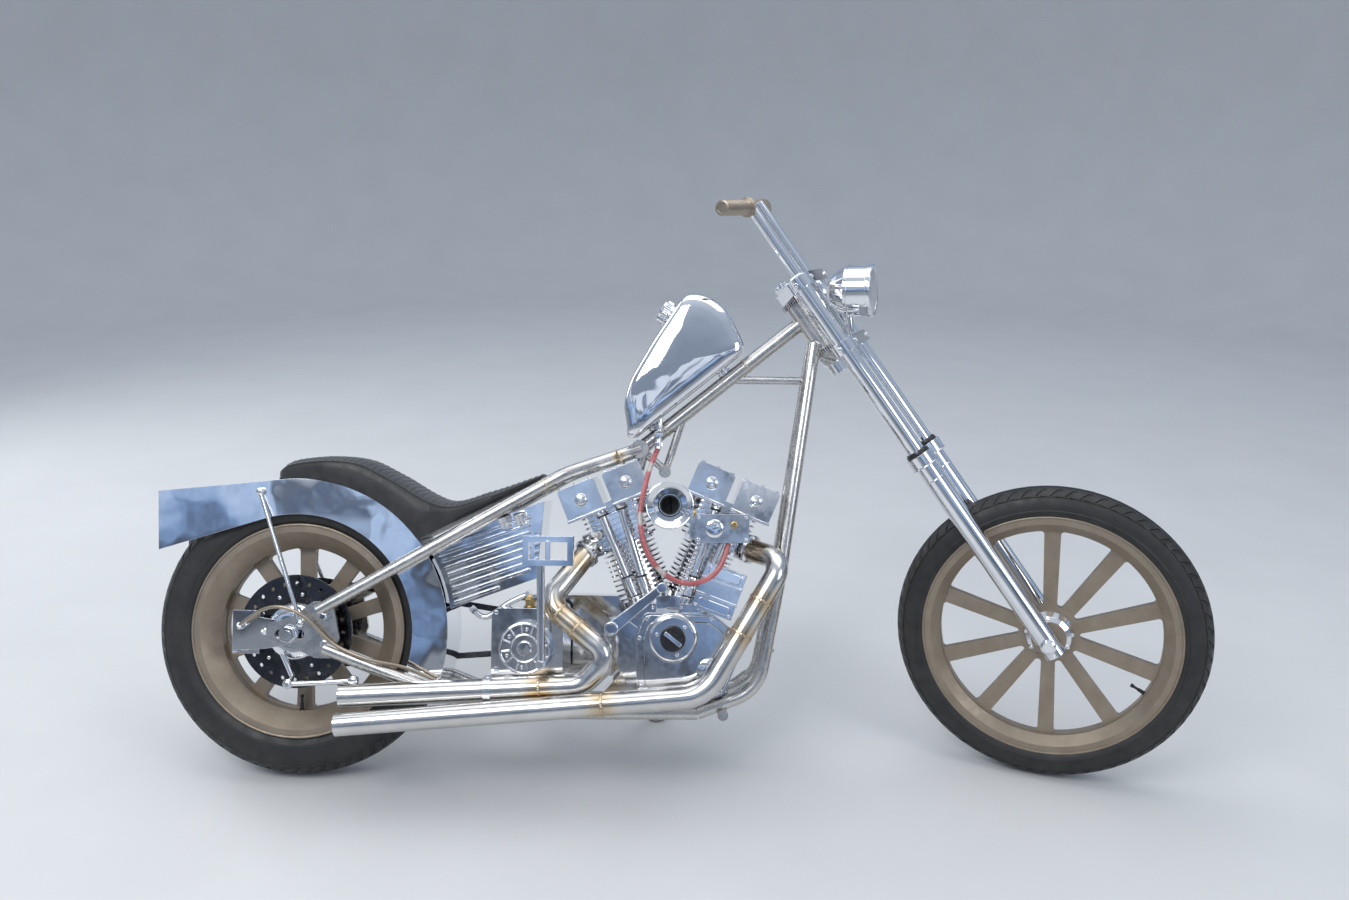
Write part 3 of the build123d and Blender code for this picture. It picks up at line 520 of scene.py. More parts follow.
def hose_rubber():
    """A clear pink hose with a few paler places."""
    shader = Shader("pink_hose").set(Transmission_Weight=0.35, IOR=1.45, Coat_Weight=0.3)
    pink = shader.ramp(shader.noise(30.0), (0.3, (0.50, 0.12, 0.13)), (0.7, (0.66, 0.22, 0.22)))
    pale = shader.ramp(shader.noise(24.0), (0.3, (0.62, 0.55, 0.52)), (0.7, (0.72, 0.66, 0.62)))
    near = shader.nearness([at(*place) for place in PALE_PLACES], 0.022)
    shader.colour(shader.mix(shader.range(near, 0.0, 1.0, 0.2, 0.45), pink, pale))
    return shader.rough(shader.range(shader.noise(80.0), 0.15, 0.3)).material


def lamp_glass():
    """Fluted glass over a bright bowl."""
    shader = Shader("fluted_lens").set(Metallic=0.75, Coat_Weight=1.0, Coat_Roughness=0.02)
    shader.colour(shader.ramp(shader.noise(30.0), (0.3, (0.62, 0.64, 0.66)), (0.7, (0.78, 0.80, 0.82))))
    shader.rough(shader.range(shader.noise(50.0), 0.10, 0.22))
    flutes = shader.noise(160.0, 1.0, 0.3, shader.stretched((1.0, 1.0, 0.05)))
    return shader.bump(flutes, 0.6, 0.002).material


BRONZE = bronze_paint()
RUBBER = rubber()
LEATHER = leather()
BLACK = plastic("black_plastic", (0.010, 0.010, 0.011), (0.022, 0.022, 0.024))
CERAMIC = plastic("white_ceramic", (0.60, 0.59, 0.56), (0.70, 0.69, 0.66), (0.12, 0.2))
GRIP = metal("bronze_grip", (0.36, 0.30, 0.235), (0.45, 0.385, 0.31), 0.30, 0.42, grain=0.2)
HOSE = hose_rubber()
LENS = lamp_glass()

CAD_LOOKS = {
    SATIN: ("frame_neck", "frame_top_tube", "frame_upper_rails", "frame_downtubes", "frame_lower_rails",
            "frame_cross_tubes", "frame_braces", "axle_plates", "stand_bracket", "side_stand"),
    PIPES: ("exhaust_front", "exhaust_rear"),
    CHROME: ("fender_stays", "fuel_cap", "kick_lever", "velocity_stack", "fork_leg_right", "fork_leg_left",
             "lower_clamp", "upper_clamp", "handlebar", "headlight", "front_axle", "front_hub_caps",
             "pushrod_tubes", "rear_axle", "caliper_bracket", "foot_control_right"),
    PANEL: ("rear_fender", "fuel_tank", "oil_tank"),
    POLISHED: ("crankcase", "cam_cover", "cylinder_rear", "cylinder_front", "rocker_boxes", "carburettor",
               "magneto", "gearbox", "gearbox_cover", "primary_case", "brake_caliper"),
    BLACKED: ("brake_disc", "rear_sprocket", "rear_chain"),
    BRONZE: ("front_wheel", "rear_wheel"),
    RUBBER: ("front_tyre", "rear_tyre"),
    LEATHER: ("seat",),
    BLACK: ("timer_cap",),
    GRIP: ("grips",),
}


def paint_nodes():
    for material, names in CAD_LOOKS.items():
        for name in names:
            mesh = nodes[name].data
            mesh.materials.clear()
            mesh.materials.append(material)


# Camera, floor and light


# The fitted camera: focal length, turns in degrees (aside, down, round its own line) and place on the bike
FOCAL_LENGTH = 29.55
SENSOR_WIDTH = 36.0
CAMERA_TURNS = (0.92, 16.98, 0.40)
CAMERA_AT = (886.0, -2208.6, 1465.3)


def camera():
    data = bpy.data.cameras.new("camera")
    data.sensor_width = SENSOR_WIDTH
    data.lens = FOCAL_LENGTH
    holder = add_object("camera", data)
    yaw, pitch, roll = (math.radians(value) for value in CAMERA_TURNS)
    ahead = Vector((-math.sin(yaw) * math.cos(pitch), math.cos(yaw) * math.cos(pitch), -math.sin(pitch)))
    right = Vector((math.cos(yaw), math.sin(yaw), 0))
    up = right.cross(ahead)
    across = math.cos(roll) * right + math.sin(roll) * up
    above = -math.sin(roll) * right + math.cos(roll) * up
    place = Matrix((across, above, -ahead)).transposed().to_4x4()
    place.translation = ORIGIN + Vector(CAMERA_AT) * MM
    holder.matrix_world = place
    bpy.context.scene.camera = holder


# The round studio: a floor that curves up into a wall, in metres
FLOOR_R = 6.5
COVE = 2.0
COVE_STEPS = 12
WALL_TOP = 4.6
WALL_UNEVEN = 0.75
WALL_ROUGH = 0.75
PALE = (0.62, 0.62, 0.615)
PALEST = (0.65, 0.65, 0.645)
# What the wall shows by height, first to reflections, then as its own light
WALL_SHADE = ((0.0, PALE), (0.34, (0.58, 0.58, 0.58)), (0.41, (0.16, 0.17, 0.18)), (0.50, (0.16, 0.20, 0.28)),
              (0.60, (0.32, 0.43, 0.62)), (0.74, (0.55, 0.66, 0.82)), (0.84, (0.14, 0.17, 0.23)),
              (0.93, (0.80, 0.83, 0.88)))
WALL_GLOW = ((0.0, (0, 0, 0)), (0.44, (0, 0, 0)), (0.56, (0.13, 0.21, 0.36)), (0.72, (0.42, 0.53, 0.70)),
             (0.82, (0.03, 0.04, 0.06)), (0.93, (0.60, 0.64, 0.70)))
GLOW = 0.65
SKY = ((0.0, (0.20, 0.22, 0.25)), (0.45, (0.26, 0.32, 0.42)), (0.70, (0.50, 0.58, 0.70)),
       (1.0, (0.80, 0.85, 0.92)))
SKY_STRENGTH = 0.9
LAMPS_AIM = Vector((0, 0, 0.4))
# Each lamp's name, place, width and height in metres, and power in watts
LAMPS = (("key", (-1.6, -2.6, 3.6), (2.6, 1.6), 74.0), ("fill", (3.4, -2.8, 2.6), (1.6, 2.2), 34.0),
         ("top", (0.2, 0.4, 4.4), (5.5, 3.2), 62.0), ("rim", (-3.4, 1.8, 2.4), (1.2, 2.4), 40.0))


def studio_floor():
    """The camera sees it pale and plain. Everything else sees the darker bands and the glow."""
    shader = Shader("studio_floor").set(Roughness=WALL_ROUGH)
    split = shader.node("SeparateXYZ", {"Vector": shader.coords})
    uneven = shader.range(shader.noise(1.1, 3.0), -WALL_UNEVEN, WALL_UNEVEN)
    waved = shader.node("Math", {0: split.outputs["Z"], 1: uneven}, operation="ADD")
    height = shader.range(waved.outputs["Value"], 0.0, 1.0, 0.0, WALL_TOP)
    shader.colour(shader.ramp(height, *WALL_SHADE))
    shader.link(shader.ramp(height, *WALL_GLOW), shader.surface.inputs["Emission Color"])
    shader.set(Emission_Strength=GLOW)
    pale = shader.ramp(shader.noise(3.0), (0.3, PALE), (0.7, PALEST))
    plain = shader.node("BsdfPrincipled", {"Base Color": pale, "Roughness": WALL_ROUGH})
    seen = shader.node("LightPath", {}).outputs["Is Camera Ray"]
    choice = shader.node("MixShader", {0: seen, 1: shader.surface.outputs["BSDF"], 2: plain.outputs["BSDF"]})
    shader.link(choice.outputs["Shader"], shader.tree.nodes["Material Output"].inputs["Surface"])
    return shader.material


def stage():
    """A pale round floor that curves up into a wall, with soft lamps."""
    profile = [(0.0, 0.0), (FLOOR_R, 0.0)]
    for step in range(1, COVE_STEPS + 1):
        turn = math.radians(90 * step / COVE_STEPS)
        profile.append((FLOOR_R + COVE * math.sin(turn), COVE - COVE * math.cos(turn)))
    profile.append((FLOOR_R + COVE, WALL_TOP))
    studio = Piece(place=lambda x, y, z: Vector((x, y, z)))
    studio.lathe((0, 0, 0), UP, profile, 96)
    mesh = bpy.data.meshes.new("floor")
    mesh.from_pydata([tuple(point) for point in studio.points], [], studio.faces)
    mesh.polygons.foreach_set("use_smooth", [True] * len(mesh.polygons))
    mesh.materials.append(studio_floor())
    add_object("floor", mesh)
    for name, place, size, power in LAMPS:
        data = bpy.data.lights.new(name, "AREA")
        data.shape = "RECTANGLE"
        data.size, data.size_y = size
        data.energy = power
        lamp = add_object(name, data)
        lamp.location = place
        lamp.rotation_mode = "QUATERNION"
        lamp.rotation_quaternion = (Vector(place) - LAMPS_AIM).to_track_quat("Z", "Y")


def sky():
    """A soft bluish dome, bright overhead."""
    world = bpy.data.worlds.new("studio")
    bpy.context.scene.world = world
    world.use_nodes = True
    tree = world.node_tree
    coords = tree.nodes.new("ShaderNodeTexCoord")
    split = tree.nodes.new("ShaderNodeSeparateXYZ")
    tree.links.new(coords.outputs["Generated"], split.inputs["Vector"])
    ramp = tree.nodes.new("ShaderNodeValToRGB")
    fill_ramp(ramp.color_ramp, SKY)
    tree.links.new(split.outputs["Z"], ramp.inputs["Fac"])
    tree.links.new(ramp.outputs["Color"], tree.nodes["Background"].inputs["Color"])
    tree.nodes["Background"].inputs["Strength"].default_value = SKY_STRENGTH


# Wheels

FRONT_RAKE = 34.9
FRONT_Z = 353.9
FRONT_X = 1707.0


def on_front_wheel(x, y, z):
    """x, y, z from the front axle in the bike's upright axes, turned with the fork."""
    ahead, along = turned((0, 0), FRONT_RAKE, x, z)
    return on_fork(ahead, y, along)


def straight(x, y, z):
    """A point of the fork as it is on the bike with its front wheel straight ahead."""
    return on_front_wheel(x - FRONT_X, y, z - FRONT_Z)


# Angle across the tyre in degrees, depth below its round, and whether the cross grooves reach it
TREAD = ((0.0, 0.0, 0), (5.0, 0.0, 0), (6.2, 3.2, 0), (9.6, 3.2, 0), (10.8, 0.0, 0), (20.0, 0.0, 0),
         (23.0, 0.0, 1), (38.0, 0.0, 1), (50.0, 0.2, 1), (52.0, 0.4, 0), (53.2, 2.0, 0), (56.0, 2.0, 0),
         (57.2, 0.6, 0), (66.0, 0.9, 0), (76.0, 1.0, 0), (86.0, 0.8, 0), (94.0, 0.6, 0), (96.0, -0.8, 0),
         (100.0, -0.8, 0), (102.0, 0.6, 0), (112.0, 1.0, 0), (118.0, 2.0, 0))
BLOCKS = 66
CROSS_DEPTH = 3.0
CROSS_SWEEP = 0.10
CROSS_FROM = 0.4
# Each block's shares of its pitch, and whether the cross groove is cut there
BLOCK_STEPS = ((0.0, 1), (0.24, 1), (0.30, 0), (0.94, 0))
BEAD_WIDTH = 0.55
BEAD_DEEP = 9


def tyre(name, place, sizes, body, like):
    middle, section, rim = sizes
    across = [(-angle, deep, cross) for angle, deep, cross in reversed(TREAD[1:])] + list(TREAD)
    rows = []
    for block in range(BLOCKS):
        for share, cut in BLOCK_STEPS:
            turn = 2 * math.pi * (block + share) / BLOCKS
            row = []
            for angle, deep, cross in across:
                reach = section - deep - (CROSS_DEPTH if cut and cross else 0.0)
                a = math.radians(angle)
                swept = turn + CROSS_SWEEP * max(abs(a) - CROSS_FROM, 0.0) * cross
                radius = middle + reach * math.cos(a)
                row.append((radius * math.cos(swept), reach * math.sin(a), radius * math.sin(swept)))
            inner = section * BEAD_WIDTH
            for y in (inner, -inner):
                row.append(((rim - BEAD_DEEP) * math.cos(turn), y, (rim - BEAD_DEEP) * math.sin(turn)))
            rows.append(row)
    piece = Piece(place).grid(rows, loop=True).make(name, RUBBER, like, body, sharp=24)
    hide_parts(like)


# Each rim's lips: name, place, radius, half width, body, and the node whose finish they take
RIMS = (("front_rim_lips", on_front_wheel, 279.0, 35.0, FRONT_WHEEL, "front_wheel"),
        ("rear_rim_lips", on_rear_wheel, 241.0, 58.0, REAR_WHEEL, "rear_wheel"))
# Profiles are pairs of radius and distance along the axis
VALVE = ((0, -1), (6, -1), (6, 3), (4.4, 5), (4.0, 18), (3.0, 19), (3.0, 29), (4.2, 30), (4.2, 36), (0, 37))
FRONT_VALVE = (-31, 243)
REAR_VALVE = (0, -20, -187)
HUB_DOME = ((16, -70), (64, -70), (64.5, -75), (62, -82), (56, -87), (44, -89.5), (20, -90), (16, -88))
HUB_FACE = -89
DISC_FACE = -71.5


def wheels():
    tyre("front_tyre_tread", on_front_wheel, FRONT_TYRE, FRONT_WHEEL, "front_tyre")
    tyre("rear_tyre_tread", on_rear_wheel, REAR_TYRE, REAR_WHEEL, "rear_tyre")
    for name, place, rim, half, body, like in RIMS:
        lips = Piece(place)
        for side in (-1, 1):
            lips.ring((0, side * half, 0), LEFT, rim - 1.5, 3.0, 120)
            lips.ring((0, side * (half - 7), 0), LEFT, rim - 11.0, 2.2, 120)
        lips.make(name, BRONZE, like, body)
    out = Vector(aside(around(FRONT_VALVE[0], 1), 0))
    valve = Piece(on_front_wheel).lathe(out * FRONT_VALVE[1], -out, VALVE)
    valve.make("front_valve", BLACK, "front_tyre", FRONT_WHEEL)
    Piece(on_rear_wheel).lathe(REAR_VALVE, UP, VALVE).make("rear_valve", BLACK, "rear_tyre", REAR_WHEEL)
    caps = Piece(on_front_wheel)
    for side in (-1, 1):
        for x, z in spots(3, 95, 1):
            caps.screw((44 * x, side * 33, 44 * z), (0.5 * x, side, 0.5 * z), 4.5, 5.0, 3.0)
    caps.make("hub_cap_screws", CHROME, "front_hub_caps", FRONT_WHEEL)
    dome = Piece(on_rear_wheel).lathe((0, 0, 0), LEFT, HUB_DOME, 72, ring=True)
    dome.screws(spots(5, 18, 40), HUB_FACE, RIGHT, 4.0, 2.6)
    dome.make("rear_hub_dome", CHROME, "rear_wheel", REAR_WHEEL)
    bolts = Piece(on_rear_wheel)
    for spot in spots(10, 9, 84):
        bolts.dome(aside(spot, DISC_FACE), RIGHT, 4.4, 2.4)
    bolts.make("disc_buttons", CHROME, "brake_disc", REAR_WHEEL)


PLATE_FACE = 116.5
ADJUSTER = ((0, -1), (8.6, -1), (8.6, 5), (0, 5))
ADJUSTER_Y = 112
CALIPER_FACE = -91.5
CALIPER_CAP = ((0, -2), (19, -2), (19, 2.0), (17, 4.2), (13, 4.6), (11, 3.4), (0, 3.4))
ROD_EYE = ((5, 0), (10, 0), (11, 1), (11, 11), (10, 12), (5, 12))


def rear_end():
    nuts = Piece(on_rear_wheel)
    stays = Piece()
    for side in (-1, 1):
        out = (0, side, 0)
        nuts.nut((0, side * PLATE_FACE, 0), out, 18.8, 13.0)
        nuts.screw((-44, side * ADJUSTER_Y, 4), (-1, 0, 0), 5.0, 18.0, 4.0)
        nuts.lathe((-50, side * ADJUSTER_Y, 4), (-1, 0, 0), ADJUSTER, 6)
        nuts.nut((80, side * PLATE_FACE, -20), out, 8.0, 6.0)
        nuts.nut((76, side * PLATE_FACE, 40), out, 8.0, 6.0)
        stays.dome((-84, side * 84, 650), out, 7.5, 5.0, 3.0)
        stays.dome((28, side * 125, 360), out, 7.5, 5.0, 3.0)
    nuts.make("axle_nuts", CHROME, "rear_axle")
    stays.make("stay_screws", CHROME, "fender_stays")
    caliper = Piece()
    for z in (313, 359):
        caliper.lathe((-106, CALIPER_FACE, z), RIGHT, CALIPER_CAP, 40)
    caliper.screws(product((-128,), (295, 336, 377)), CALIPER_FACE, RIGHT, 5.0, 4.5)
    caliper.box((-137, -86, 300), (-129, -52, 372), 1.5)
    caliper.make("caliper_details", CHROME, "brake_caliper")
    link = Piece()
    link.tube([(6, -124, 228), (70, -124, 231), (146, -122, 237)], 6.0)
    for x, z in ((4, 228), (148, 237)):
        link.lathe((x, -130, z), LEFT, ROD_EYE, 28, ring=True)
        link.nut((x, -129, z), RIGHT, 7.0, 5.0)
    link.tube([(148, -118, 237), (148, -104, 237)], 6.5)
    link.tube([(4, -118, 228), (4, -98, 240), (-20, -96, 290)], 6.5)
    link.make("brake_tie_rod", CHROME, "caliper_bracket")


# Seat: the leather follows the CAD solid's top line, with its pleats across

SEAT_TOP = ((-52, 703), (-30, 719), (0, 727), (70, 733), (139, 726), (210, 693), (327, 634), (430, 657),
            (548, 699))
SEAT_PLAN = ((-60, 62), (60, 88), (300, 92), (430, 66), (560, 43))
SEAT_SAMPLES = 700
PLEAT = 14.0
PLEAT_DEPTH = 3.4
PLEAT_STEPS = 6
ACROSS = (-0.97, -0.90, -0.78, -0.6, -0.4, -0.2, 0.0, 0.2, 0.4, 0.6, 0.78, 0.90, 0.97)
SEAT_UNDER_R = 345.5
# Where the seat leaves the fender, its underside there, and the underside's slope from there on
UNDER_FROM = (272, 546)
UNDER_SLOPE = 0.506
SEAT_EDGE = 13.0
END_STEPS = 10
END_WIDTH = 0.75
PAN_STEPS = 40
PAN_FROM = -50
PAN_LONG = 590


def along_line(points, share):
    """A smooth line through points, at a share of their number."""
    place = min(max(share, 0.0), 1.0) * (len(points) - 1)
    number = min(int(place), len(points) - 2)
    t = place - number
    p0, p1 = Vector(points[max(number - 1, 0)]), Vector(points[number])
    p2, p3 = Vector(points[number + 1]), Vector(points[min(number + 2, len(points) - 1)])
    return 0.5 * (2 * p1 + (p2 - p0) * t + (2 * p0 - 5 * p1 + 4 * p2 - p3) * t * t
                  + (3 * p1 - p0 - 3 * p2 + p3) * t ** 3)


def half_width(x):
    for (x0, w0), (x1, w1) in zip(SEAT_PLAN, SEAT_PLAN[1:]):
        if x <= x1:
            return w0 + (w1 - w0) * max(x - x0, 0) / (x1 - x0)
    return SEAT_PLAN[-1][1]


def seat_under(x):
    if x < UNDER_FROM[0]:
        return REAR_AXLE_Z + math.sqrt(max(SEAT_UNDER_R ** 2 - x * x, 0))
    return UNDER_FROM[1] + (x - UNDER_FROM[0]) * UNDER_SLOPE


def seat():
    line = [along_line(SEAT_TOP, step / SEAT_SAMPLES) for step in range(SEAT_SAMPLES + 1)]
    lengths = [0.0]
    for before, after in zip(line, line[1:]):
        lengths.append(lengths[-1] + (after - before).length)
    whole = lengths[-1]
    pleats = round(whole / PLEAT)
    rows, seams = [], ([], [])
    number = 0
    steps = pleats * PLEAT_STEPS
    for step in range(steps + 1):
        wanted = whole * step / steps
        while number < SEAT_SAMPLES and lengths[number] < wanted:
            number += 1
        x, top = line[number]
        low = min(seat_under(x), top - 8)
        high = top - low
        half = half_width(x)
        phase = step % PLEAT_STEPS / PLEAT_STEPS
        phase = min(phase, 1 - phase) * 2
        groove = PLEAT_DEPTH * (1 - math.sin(phase * math.pi / 2)) ** 1.2
        ends = min(step, steps - step) / END_STEPS
        pull = 1.0
        if ends < 1:
            pull = math.sqrt(max(1 - (1 - ends) ** 2, 0.0)) * (1 - END_WIDTH) + END_WIDTH
        half *= pull
        edge = min(SEAT_EDGE, high * 0.45)
        flank = ((4, low), (0.5, low + high * 0.30), (0, low + high * 0.55), (1.5, top - edge))
        row = [(x, inwards - half, z) for inwards, z in flank]
        seams[0].append(row[-1])
        for share in ACROSS:
            crown = edge * 0.9 * abs(share) ** 4
            fade = max(0.0, 1 - abs(share) ** 10)
            row.append((x, share * (half - 2.5), top - crown - groove * fade * pull))
        row += [(x, half - inwards, z) for inwards, z in reversed(flank)]
        seams[1].append(row[-len(flank)])
        rows.append(row)
    piece = Piece().grid(rows)
    for seam in seams:
        piece.tube(seam[::3], 1.7, 8)
    made = piece.make("saddle_leather", LEATHER, "seat", sharp=70)
    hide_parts("seat")
    pan = Piece()
    rows = []
    for step in range(PAN_STEPS + 1):
        x = PAN_FROM + PAN_LONG * step / PAN_STEPS
        low = seat_under(x)
        half = half_width(x) - 6
        rows.append([(x, -half, low - 0.5), (x, half, low - 0.5), (x, half, low + 3), (x, -half, low + 3)])
    pan.grid(rows).make("saddle_pan", BLACK, "seat")


# Fuel, oil and brake lines

FUEL_ROUTE = ((809, -37, 757), (799, -66, 733), (788, -103, 692), (779, -132, 647), (774, -149, 600),
              (783, -157, 550), (806, -160, 503), (845, -159, 470), (891, -156, 460), (935, -151, 476),
              (960, -146, 512), (970, -132, 553))
BRAKE_ROUTE = ((-112, -118, 352), (-82, -123, 376), (-48, -134, 394), (-14, -139, 400), (16, -139, 392),
               (40, -137, 378), (62, -133, 357), (83, -129, 333), (108, -126, 313), (139, -127, 299),
               (173, -127, 286), (207, -121, 277), (241, -110, 270), (279, -96, 255), (328, -90, 232),
               (382, -86, 209), (434, -84, 197), (480, -86, 196), (520, -90, 200))
OIL_ROUTE = ((396, -46, 388), (415, -46, 364), (451, -46, 385), (480, -45, 408), (521, -44, 424))

# The fuel tap's handle, as radius and distance
TAP = ((0, 0), (6, 0), (6, 10), (9, 11), (9, 16), (0, 17))


def line(name, route, radius, material, like):
    """A hose along a route, as one smooth curve."""
    data = bpy.data.curves.new(name, "CURVE")
    data.dimensions = "3D"
    data.bevel_depth = radius * MM
    data.bevel_resolution = 5
    data.use_fill_caps = True
    data.resolution_u = 12
    spline = data.splines.new("NURBS")
    spline.points.add(len(route) - 1)
    for point, place in zip(spline.points, route):
        point.co = (*at(*place), 1.0)
    spline.order_u = 3
    spline.use_endpoint_u = True
    data.materials.append(material)
    piece = add_object(name, data)
    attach(piece, "chassis")
    return piece


def hoses():
    fuel = line("fuel_hose", FUEL_ROUTE, 6.0, HOSE, "grips")
    brake = line("brake_line", BRAKE_ROUTE, 4.0, GRIP, "brake_caliper")
    line("oil_line", OIL_ROUTE, 6.5, CHROME, "oil_tank")
    fittings = Piece()
    fittings.tube([(813, -30, 828), (811, -33, 790), (809, -37, 756)], 7.0)
    for z in (768, 790, 806):
        fittings.lathe((810, -35, z), (0.04, 0.1, 1), ((0, -4), (10, -4), (10, 4), (0, 4)), 6)
    fittings.lathe((811, -42, 790), RIGHT, TAP, 24)
    fittings.tube([(971, -129, 562), (970, -132, 548)], 7.6)
    fittings.tube([(-112, -92, 348), (-112, -112, 350), (-108, -121, 356)], 5.6)
    for x, y, z in ((328, -94, 229), (434, -88, 190)):
        fittings.lathe((x - 5, y, z), (1, 0, -0.4), ((9, 0), (12, 0), (12, 9), (9, 9)), 20, ring=True)
    for place in (OIL_ROUTE[0], OIL_ROUTE[-1]):
        base = Vector(place) - Vector((5, 0, 5))
        fittings.lathe(base, (0.6, 0, 0.6), ((0, 0), (9.5, 0), (9.5, 12), (0, 12)), 6)
    fittings.make("line_fittings", CHROME, "fuel_cap")


# Tanks

OIL_TANK = [around(degrees, 352, (0, REAR_AXLE_Z)) for degrees in range(9, 34, 3)]
OIL_TANK += [(300, 541), (556, 636), (542, 462)]
RIBS = 9
RIB_LEAN = 19.5
RIB_PITCH = 16.0
RIBS_AT = (422, 418)
RIBS_END_X = 528
CAP_AT = (832, 0, 1070)
CAP_EDGE = ((26, 3), (28.4, 4), (28.4, 17), (26, 19))
OIL_CAP = ((0, -8), (13, -8), (13, 6), (15, 7), (15, 17), (13, 19), (0, 20))
CAP_WAY = (-math.cos(math.radians(32)), 0, math.sin(math.radians(32)))

# The fuel tank's outline, and its crowned sides as shares of the outline and their y
TANK = [(738, 782), (761, 782), (1011, 985), (963, 1079), (917, 1111), (868, 1114), (801, 1013), (743, 912),
        (728, 852)]
TANK_MIDDLE = (868, 960)
TANK_SIDES = ((0.06, 75.6), (0.22, 75.4), (0.42, 74.8), (0.62, 73.6), (0.78, 71.8), (0.88, 69.0),
              (0.945, 64.6), (0.975, 60.0), (0.993, 53.0), (1.0, 44.0), (1.0, 0.0))
TANK_FEET = (58.0, 262.0)
FOOT_RING = ((12, 3), (17, 3), (17, 7), (12, 7))


def fuel_tank():
    outline = rounded(rounded(TANK, 26, 5), 6, 2)
    sides = [(share, -y) for share, y in TANK_SIDES] + [(share, y) for share, y in reversed(TANK_SIDES[:-1])]
    rows = [[(TANK_MIDDLE[0] + (x - TANK_MIDDLE[0]) * share, y, TANK_MIDDLE[1] + (z - TANK_MIDDLE[1]) * share)
             for x, z in outline] for share, y in sides]
    shell = Piece().grid(rows)
    for along in TANK_FEET:
        low, high = aside(on_top_tube(along, 15), 0), aside(on_top_tube(along, 37), 0)
        shell.tube([low, high], 12, 32)
        shell.lathe(low, (-TOP_TUBE_WAY[1], 0, TOP_TUBE_WAY[0]), FOOT_RING, 40, ring=True)
    made = shell.make("fuel_tank_shell", PANEL, "fuel_tank", sharp=60)
    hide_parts("fuel_tank")


def tanks():
    fuel_tank()
    cap = Piece().lathe(CAP_AT, CAP_WAY, CAP_EDGE, 144, ring=True, flutes=36, depth=1.6)
    cap.ring(Vector(CAP_AT) + Vector(CAP_WAY) * 1.5, CAP_WAY, 28.0, 2.2, 60)
    cap.make("fuel_cap_knurl", CHROME, "fuel_cap")
    ribs = Piece()
    inner = inset(OIL_TANK, 9)
    for number in range(RIBS):
        off = RIB_PITCH * (number + 0.6)
        run = [turned(RIBS_AT, -RIB_LEAN, step, off) for step in range(-140, 180, 2)]
        run = [(x, z) for x, z in run if is_inside(inner, x, z) and x < RIBS_END_X]
        if len(run) > 8:
            ribs.slab(hull((*run[2], 4.8), (*run[-3], 4.8), steps=6), -72.0, -66, 2.4)
    ribs.make("oil_tank_ribs", PANEL, "oil_tank")
    caps = Piece()
    for x, z in ((470, 598), (506, 606)):
        caps.lathe((x, -70, z - 14), (-0.30, -0.25, 1), OIL_CAP, 48, flutes=24, depth=0.8)
    caps.make("oil_caps", CHROME, "oil_tank")


# Engine

COVER = [(772, 228), (802, 200), (900, 194), (962, 216), (990, 282), (984, 356), (938, 392), (786, 392),
         (766, 340)]
TIMER = (850, 340)
TIMER_BEZEL = ((46, 0), (56, 0), (54, 3), (49, 5.5), (46, 6))
COVER_BOSS = ((0, 0), (30, 0), (29, 4), (25, 6.5), (0, 7.2))
# Each pushrod's foot, its side of the V, and its top across the cylinder
PUSHRODS = ((772, -1, -24), (798, -1, 24), (874, 1, -24), (900, 1, 24))
PUSHROD_Y = -84
PUSHROD_HEIGHTS = (406, 346)
FOOT_COLLARS = (((9.5, 2), (13, 2), (13.4, 4), (13.4, 20), (12, 22), (9.5, 22)),
                ((9.0, 22), (11.6, 24), (11.6, 64), (10.6, 68), (9.0, 68)))
TOP_COLLAR = ((9.5, 2), (13, 2), (13, 12), (11.4, 15), (9.5, 15))
ROCKER_CAP = ((0, -1), (15, -1), (15, 1.6), (13.5, 2.8), (11, 3.0), (10, 6.5), (8, 7.4), (0, 7.4))
ROCKER_AXIS = 380
LID_TOP = 417
HEAD_BOLT = ((0, 0), (9, 0), (9, 12), (0, 12))
SPARK_PLUG = ((0, 0), (9, 0), (9, 7), (7.5, 8), (6, 9), (6, 26), (4, 28), (4, 33), (0, 33))


def gear_cover():
    trim = Piece()
    trim.slab(rounded(inset(COVER, 3.0), 16), -116.5, -113, 1.6)
    trim.slab(rounded(inset(COVER, 17.0), 14), -120.5, -116, 2.6)
    trim.lathe(aside(TIMER, -117), RIGHT, TIMER_BEZEL, 72, ring=True)
    trim.lathe((932, -117, 268), RIGHT, COVER_BOSS, 56)
    trim.make("gear_cover_trim", POLISHED, "cam_cover")
    screws = Piece()
    screws.screws(inset(COVER, 10.0), -116, RIGHT, 5.2, 4.2, 2.0)
    screws.screws(spots(3, 45, 36, TIMER), -135.5, RIGHT, 4.4, 3.6)
    screws.screws(product((765, 805, 867, 907), (388, 404)), -99, RIGHT, 3.8, 3.4, 3.0)
    screws.make("gear_cover_screws", CHROME, "cam_cover")
    bar = Piece(tilted(TIMER, 38)).box((-23, -147.4, -4.5), (23, -145, 4.5), 0.8)
    bar.make("timer_cap_bar", CHROME, "timer_cap")
    Piece().ring(aside(TIMER, -144.5), LEFT, 26.2, 1.8, 60).make("timer_cap_rim", BLACK, "timer_cap")


